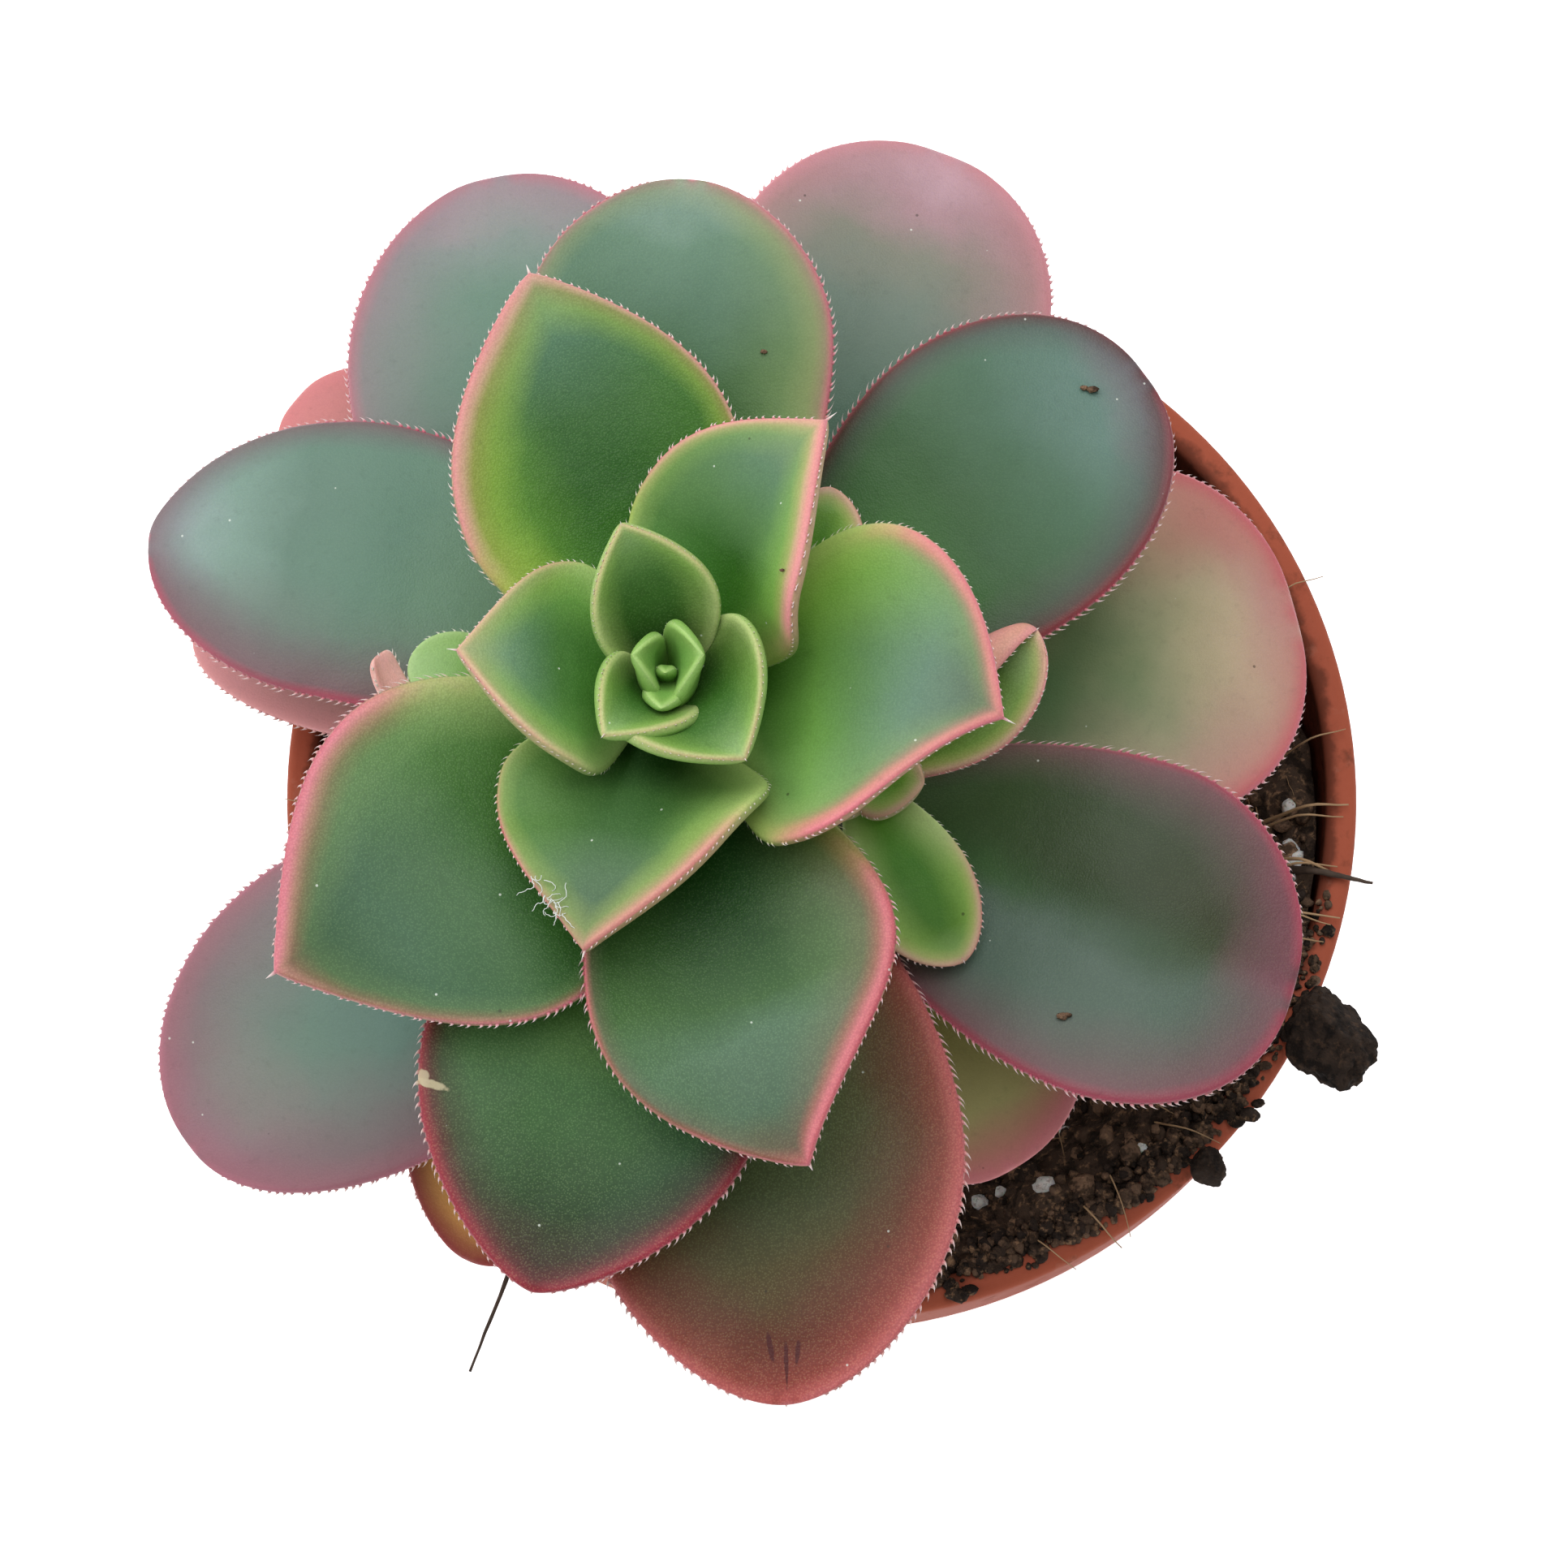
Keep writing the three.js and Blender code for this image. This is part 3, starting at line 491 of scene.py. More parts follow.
coir = Finish("Coir fibre", roughness=0.75)
husk = coir.mix(coir.noise(3, 2), 0x8f6a48, 0xc9a981)
coir.done(base_color=husk, normal=coir.bump(coir.noise(0.1, 1, 0.5, (1, 1, 0.2)), 0.02))


def fibre(start, heading, length, arch, wander):
    """A springy fibre that leaves its start along a heading, arches over and comes down again"""
    path = []
    turn = heading
    x, y, z = start
    for share in np.linspace(0, 1, FIBRE_KNOTS):
        turn += chance.uniform(-wander, wander)
        x += math.cos(turn) * length / (FIBRE_KNOTS - 1)
        y += math.sin(turn) * length / (FIBRE_KNOTS - 1)
        path.append((x, y, z + arch * math.sin(math.pi * min(share * 1.1, 1)) + 0.3))
    return path


strands = []
while len(strands) < FIBRES:
    start = on_the_bed(0.95)
    heading, length = chance.uniform(0, 2 * math.pi), chance.uniform(*FIBRE_LENGTH)
    path = fibre(start, heading, length, chance.uniform(0, 3), 0.35)
    if all(math.hypot(x, y) < soil_radius - 0.5 for x, y, _ in path):
        path = [(x, y, max(z, bed_height(x, y) + 0.2)) for x, y, z in path]
        strands.append(strand(path, chance.uniform(*FIBRE_RADIUS), 4))
for turn, start, length, heading, girth in RIM_STICKS:
    turn, heading = math.radians(turn), math.radians(heading)
    x, y = start * math.cos(turn), start * math.sin(turn)
    root = (x, y, bed_height(x, y) + 0.3)
    rise = max(LIP_REST - root[2], 0)
    path = fibre(root, turn + heading, length, 0.8, 0.06)
    path = [(x, y, z + rise * float(rise_of(k / 6))) for k, (x, y, z) in enumerate(path)]
    strands.append(strand(path, girth, 5, 0.3))
add_piece("coir_fibres", *gather(strands), coir.material, "soil")

# Stem
# One short woody stem, green-brown and ringed by the scars of the leaves that it has shed. It leans to the
# left as it rises, and every leaf and side shoot grows from it.
STEM_FOOT = 68
STEM_TOP = 148
STEM_LEAN = (-13.6, -4.6)
STEM_RADIUS = 5.2
STEM_TOP_RADIUS = 2.8
STEM_ROWS = 200
STEM_SIDES = 48
SCAR_PITCH = 3.2
FOOT_IN_BARK = 0.6


def stem_share(z):
    return np.clip((z - SOIL_TOP) / (STEM_TOP - SOIL_TOP), -0.2, 1.1)


def stem_axis(z):
    share = stem_share(z)
    lean = 0.45 * share + 0.55 * rise_of(share)
    return np.array([STEM_LEAN[0] * lean, STEM_LEAN[1] * lean, z])


def stem_radius(z):
    return STEM_RADIUS + (STEM_TOP_RADIUS - STEM_RADIUS) * np.clip(stem_share(z), 0, 1) ** 2


def level(vector):
    """The horizontal direction of a vector"""
    flat = vector * np.array((1, 1, 0))
    return flat / np.linalg.norm(flat)


def on_the_stem(z, place):
    """Where something that heads for a place is rooted, a little inside the bark at a height"""
    axis = stem_axis(z)
    return axis + level(place - axis) * (stem_radius(z) - FOOT_IN_BARK)


stem_profile = [(float(stem_radius(z)), z) for z in np.linspace(STEM_FOOT, STEM_TOP, STEM_ROWS)]
points, faces = turned([(0, STEM_FOOT), *stem_profile, (0, STEM_TOP)], STEM_SIDES)
for point in points:
    x, y, z = point
    turn = math.atan2(y, x)
    wave = (z + 1.1 * math.sin(turn + 0.9) + 0.5 * math.sin(2 * turn)) / SCAR_PITCH
    scar = abs((wave % 1) - 0.5) * 2
    swell = 0.12 - 0.4 * (1 - scar) ** 4 + 0.18 * rough(point, 2.2) + 0.08 * rough(point, 0.7, 4)
    out = min(math.hypot(x, y) / STEM_TOP_RADIUS, 1)
    point[:2] *= 1 + out * swell / max(math.hypot(x, y), 0.5)
    point[:2] += stem_axis(z)[:2]

bark = Finish("Green-brown bark", roughness=0.7)
height = bark.add("SeparateXYZ", None, {"Vector": bark.place}, "Z")
skin = bark.mix(bark.step(height, 95 * MM, 140 * MM), 0x75603f, 0x7c8a4c)
skin = bark.patches(skin, 0x4d3d2b, 0.6, 0.4, 0.7, 2.2, 4, 0.6)
skin = bark.patches(skin, 0xa8946a, 0.4, 0.55, 0.72, 0.8, 3, 0.6, (1, 1, 2.5))
bark.done(base_color=skin, normal=bark.bump(bark.noise(0.5, 3, 0.6, (1, 1, 2)), 0.15))
add_piece("stem_bark", points, faces, {}, bark.material, "stem", "stem")

# Large leaves
# Each leaf is a thick spoon of water-filled tissue with a waxy, finely pimpled skin. Its coloured margin
# carries a row of hooked, glassy teeth, and its foot is set in the bark of the stem.
CROWN_SHARE = 0.4
BLADE_MIDDLE = 2.4
BLADE_FOOT = 3.4
BLADE_EDGE = 0.9
HANDLE_SHARE = 0.36
TOOTH_PITCH = 0.9
TOOTH_SHIFT = 0.25
LAST_TOOTH = 0.992
TOOTH_LENGTH = 0.68
TOOTH_BREADTH = 0.25
TOOTH_DEPTH = 0.17
TOOTH_SIDES = 5
NEEDLE_RADIUS = 0.34
NEEDLE_SIDES = 6
SECTION_POINTS = 56
EDGE_STEPS = 260
PIMPLE_SIZE = 0.19
PALE_SPECK_PITCH = 3.4
DARK_SPECK_PITCH = 6.1


class Blade:
    """A leaf blade: its midrib is a curve, and its sections widen and close again along it. Places are given
    by a share of the length and by across, from -1 at the right edge to 1 at the left one. A width, point,
    widest or cup that is a pair is for the left and for the right."""

    def __init__(self, start, tip, width, rise=0, dip=0, roll=0, bend=0, cup=0, point=0.5, widest=0.6,
                 clasp=0.2, stout=1, pinch=0, crease=0):
        start, tip = np.array(start, float), np.array(tip, float)
        heading = level(tip - start)
        self.length = np.linalg.norm(tip - start)
        handle = HANDLE_SHARE * self.length
        self.side = np.cross((0, 0, 1), heading)
        leave = start + handle * self.slope(heading, rise) + 0.6 * bend * self.side
        arrive = tip - handle * self.slope(heading, dip) + bend * self.side
        self.poles = [start, leave, arrive, tip]
        self.roll, self.clasp, self.stout = math.radians(roll), clasp, stout
        self.pinch, self.crease = pinch, crease
        self.width, self.point, self.widest, self.cup = (
            np.broadcast_to(value, 2) for value in (width, point, widest, cup))

    @staticmethod
    def slope(heading, angle):
        return heading * math.cos(math.radians(angle)) + np.array((0, 0, math.sin(math.radians(angle))))

    def half_width(self, share, across):
        width, point, widest = (np.where(across > 0, *pair) for pair in (self.width, self.point, self.widest))
        x = share / widest
        y = np.clip((share - widest) / (1 - widest), 0, 1)
        foot = self.clasp + (1 - self.clasp) * (1.5 * x - 0.5 * x**3)
        part = np.where(share < widest, foot, (1 - y * y) ** point * (1 - self.pinch * y**3))
        return part * width / 2

    def thickness(self, share, across, half):
        middle = BLADE_FOOT + (BLADE_MIDDLE - BLADE_FOOT) * np.minimum(2 * share, 1)
        middle = middle * (1 - 0.5 * rise_of((share - 0.6) / 0.4)) * self.stout
        bead = np.minimum(BLADE_EDGE * self.stout**0.5, middle)
        nose = np.clip(1 - (1 - np.abs(across)) * half / (bead / 2), 0, 1)
        full = bead * np.sqrt(1 - nose**2) + (middle - bead) * (1 - across**2) ** 0.6
        end = np.clip(1 - (1 - share) * self.length / 0.7, 0, 1)
        return full * np.sqrt(1 - end**2)

    def sections(self, share):
        """The midrib, and the directions to the left and up across it"""
        a, b, c, d = self.poles
        s = share[..., None]
        centre = (1 - s) ** 3 * a + 3 * (1 - s) ** 2 * s * b + 3 * (1 - s) * s**2 * c + s**3 * d
        along = 3 * (1 - s) ** 2 * (b - a) + 6 * (1 - s) * s * (c - b) + 3 * s**2 * (d - c)
        along /= np.linalg.norm(along, axis=-1)[..., None]
        left = self.side - along * (along @ self.side)[..., None]
        left /= np.linalg.norm(left, axis=-1)[..., None]
        up = np.cross(along, left)
        turn = (self.roll * rise_of(1.7 * share))[..., None]
        return centre, left * np.cos(turn) + up * np.sin(turn), up * np.cos(turn) - left * np.sin(turn)

    def place(self, share, across, lift=0.0):
        """Points on the middle sheet, raised by a share of the thickness"""
        share, across = np.broadcast_arrays(np.asarray(share, float), np.asarray(across, float))
        centre, left, up = self.sections(share)
        half = self.half_width(share, across)
        bow = np.radians(np.where(across > 0, *self.cup)) * (1 - 0.4 * share) + 1e-4
        radius, turn = half / bow, bow * across
        raise_by = lift * self.thickness(share, across, np.maximum(half, 1e-6))
        groove = self.crease * np.exp(-((across / 0.16) ** 2)) * rise_of(3 * share) * rise_of(3 - 3 * share)
        out = radius * np.sin(turn) - raise_by * np.sin(turn)
        high = radius * (1 - np.cos(turn)) + raise_by * np.cos(turn) - groove
        return centre + left * out[..., None] + up * high[..., None]


def tooth(blade, share, across, size, seed):
    """One hooked tooth on the edge, leaning towards the tip of the leaf, and how glassy each point is"""
    luck = random.Random(seed)
    root = blade.place(share, across)
    out = root - blade.place(share, 0.9 * across)
    out /= np.linalg.norm(out)
    onward = blade.place(min(share + 0.01, 1), across) - blade.place(share - 0.01, across)
    onward /= np.linalg.norm(onward)
    over = np.cross(out, onward)
    length = TOOTH_LENGTH * size * luck.uniform(0.75, 1.2)
    lean = luck.uniform(0.7, 1.1)
    points, glass = [], []
    for k, (reach, girth) in enumerate(((-0.3, 1), (0.05, 1), (0.35, 0.62), (0.68, 0.34))):
        middle = root + length * (out * (reach - 0.25 * reach**2) + onward * lean * reach * (0.4 + reach))
        for turn in np.linspace(0, 2 * np.pi, TOOTH_SIDES, endpoint=False):
            ring = onward * math.cos(turn) * TOOTH_BREADTH + over * math.sin(turn) * TOOTH_DEPTH
            points.append(middle + ring * girth * size)
            glass.append(k / 4 + 0.05)
    points.append(root + length * (out * 0.75 + onward * lean * 1.4))
    glass.append(1)
    last = len(points) - 1 - TOOTH_SIDES
    faces = ring_faces(4, TOOTH_SIDES)
    faces += [(last + n, last + (n + 1) % TOOTH_SIDES, last + TOOTH_SIDES) for n in range(TOOTH_SIDES)]
    faces.append(tuple(range(TOOTH_SIDES))[::-1])
    return points, faces, glass


def leaf_shape(blade, tooth_size, first_tooth=0.12, mucro=0.0, rows=(24, 30), seed=0):
    """The skin of one leaf with its teeth, and the fields that its colours follow"""
    widest = blade.widest.mean()
    low = np.linspace(0, widest, rows[0], endpoint=False)
    high = widest + (1 - widest) * np.sin(np.linspace(0, math.radians(87.5), rows[1]))
    shares = np.concatenate([low, high])
    turns = 2 * np.pi * np.arange(SECTION_POINTS) / SECTION_POINTS
    across = np.cos(turns)
    lift = np.where(np.sin(turns) > 1e-9, CROWN_SHARE, CROWN_SHARE - 1)
    skin = blade.place(shares[:, None], across[None], lift[None])
    skin += skin_swell(skin, seed)
    points = list(skin.reshape(-1, 3))
    n = SECTION_POINTS
    last = len(points) - n
    faces = ring_faces(len(shares), n)
    faces += [(last + k, last + (k + 1) % n, len(points)) for k in range(n)]
    faces.append(tuple(range(n))[::-1])
    points.append(blade.place(1, 0))

    walk = np.linspace(0.015, 1, EDGE_STEPS)
    edge = np.concatenate([blade.place(walk, 1), blade.place(walk, -1)])
    flat = np.array(points)
    fields = {
        "margin": list(np.min(np.linalg.norm(flat[:, None] - edge[None], axis=2), axis=1)),
        "along": list(np.append(np.repeat(shares, n), 1)),
        "across": list(np.append(np.tile(across, len(shares)), 0)),
        "under": list(np.append(np.tile((np.sin(turns) < 1e-9) * 1.0, len(shares)), 0)),
        "glass": [0.0] * len(points),
    }

    def graft(extra, corners, glass, along, across):
        faces.extend([tuple(corner + len(points) for corner in face) for face in corners])
        points.extend(extra)
        for field, value in (("margin", 0), ("along", along), ("across", across), ("under", 0)):
            fields[field] += [value] * len(extra)
        fields["glass"] += list(glass)

    for hand in (1, -1):
        line = blade.place(walk, hand)
        run = np.concatenate([[0], np.cumsum(np.linalg.norm(np.diff(line, axis=0), axis=1))])
        spots = np.arange(0, run[-1] - 0.6, TOOTH_PITCH * (0.6 + 0.4 * tooth_size))
        for k, spot in enumerate(spots):
            luck = random.Random(seed * 1000 + k * 2 + hand)
            share = float(np.interp(spot + luck.uniform(-TOOTH_SHIFT, TOOTH_SHIFT), run, walk))
            if first_tooth < share < LAST_TOOTH:
                size = tooth_size * min(1, 0.4 + (share - first_tooth) * 4)
                graft(*tooth(blade, share, hand, size, seed * 77 + k), share, hand)
    if mucro:
        ahead = blade.place(1, 0) - blade.place(0.97, 0)
        ahead /= np.linalg.norm(ahead)
        path = [blade.place(1, 0) + ahead * (mucro * k / 4 - 0.5) for k in range(5)]
        needle, corners, _ = strand(path, NEEDLE_RADIUS * tooth_size, NEEDLE_SIDES, 0.05)
        graft(needle, corners, np.repeat(np.linspace(0.1, 1, 5), NEEDLE_SIDES), 1, 0)
    return np.array(points), faces, fields


def skin_swell(skin, seed):
    """The slight unevenness of a living leaf, in millimetres"""
    flat = skin.reshape(-1, 3)
    swell = np.array([0.35 * rough(point, 14, seed) + 0.1 * rough(point, 4, seed + 9) for point in flat])
    return (swell[:, None] * np.array((0, 0, 1))).reshape(skin.shape)


def leaf_finish(name, tones, left, right, edges, under, stipple, reach=8.0, spread=(0.15, 0.9), lean=0.0,
                end=0.0, veil=None, lime=None, marks=(), teeth=0xf0e4de):
    """The waxy skin of a leaf. Tones colour it along its length. Left and right are the colour of each
    flank and how strongly it shows at the foot and at the tip; spread is where the flanks begin. Edges lists
    the colours inwards from the margin: the distance in millimetres, the colour and how well it covers the
    rest. Lean widens that band on the left, or on the right below 0, and end widens it towards the tip. Lime
    is the colour of the margin near the foot and how far it reaches on the left and on the right. Stipple is
    how clearly the pale pimples show. Veil is the share and the colour of a cloudy bloom. Marks are
    blemishes: their place, half length, half breadth and colour. Teeth is the colour of the glassy tips."""
    leaf = Finish(name, roughness=0.42, specular_ior_level=0.28, subsurface_weight=0.1,
                  subsurface_scale=0.001)
    leaf.feed(leaf.shader, {"Subsurface Radius": (1.0, 0.9, 0.4)})
    margin, along, across, below, glass = (
        leaf.add("Attribute", {"attribute_name": field}, output="Fac")
        for field in ("margin", "along", "across", "under", "glass"))
    cloud = leaf.noise(9, 3)
    stops = [(share, shade(tone)) for share, tone in tones]
    body = leaf.add("ValToRGB", {"stops": stops}, {"Fac": along + (cloud - 0.5) * 0.16})
    outward = leaf.step(along, 0.3, 0.9)
    for hand, (tone, at_foot, at_tip) in ((1, left), (-1, right)):
        flank = leaf.step(across * hand + (cloud - 0.5) * 0.4, *spread)
        body = leaf.mix(flank * (outward * (at_tip - at_foot) + at_foot), body, tone)
    if veil:
        body = leaf.patches(body, veil[1], veil[0], 0.35, 0.7, 11, 3)
    width = (1 + across * lean) * (1 + end * leaf.step(along, 0.35, 0.95)) * (0.7 + 0.6 * cloud)
    stops = [(distance / reach, (*shade(colour)[:3], cover)) for distance, colour, cover in edges]
    rim = leaf.add("ValToRGB", {"stops": stops}, {"Fac": margin / width / reach})
    cover = Wire(leaf, rim.socket.node.outputs["Alpha"])
    if lime:
        colour, on_left, on_right = lime
        turn = along - across * ((on_left - on_right) / 2) + (cloud - 0.5) * 0.3 - (on_left + on_right) / 2
        rim = leaf.mix(leaf.step(turn, -0.12, 0.16), colour, rim)
    body = leaf.mix(cover, body, rim)
    body = leaf.mix(below * 0.8, body, leaf.mix(cover * 0.35, under, rim))
    pimples = leaf.cells(PIMPLE_SIZE)
    body = leaf.mix(leaf.step(pimples, 0.35, 0.8) * stipple * 0.35, body, 0x10180a, "MULTIPLY")
    body = leaf.mix(leaf.step(pimples, 0.46, 0.1) * stipple, body, 0x5c6a4a, "SCREEN")
    for share, side, long, broad, colour in marks:
        ahead, beside = (along - share) / long, (across - side) / broad
        round_it = ahead * ahead + beside * beside + leaf.noise(0.6, 2) * 1.4
        body = leaf.mix(leaf.step(round_it, 1.8, 1.2) * 0.85, body, colour)
    body = leaf.patches(body, 0x1c2a14, 0.12, 0.52, 0.8, 0.9, 4, 0.65)
    body = leaf.mix(leaf.step(leaf.cells(PALE_SPECK_PITCH), 0.04, 0.025) * 0.6, body, 0xe9efe4)
    body = leaf.mix(leaf.step(leaf.cells(DARK_SPECK_PITCH), 0.03, 0.02) * 0.6, body, 0x2e2a1c)
    body = leaf.mix(leaf.step(glass, 0.15, 0.8), body, teeth)
    skin = leaf.bump(pimples, 0.02, leaf.bump(leaf.noise(3, 2), 0.08))
    return leaf.done(base_color=body, roughness=leaf.noise(7, 2) * 0.16 + 0.38, normal=skin)
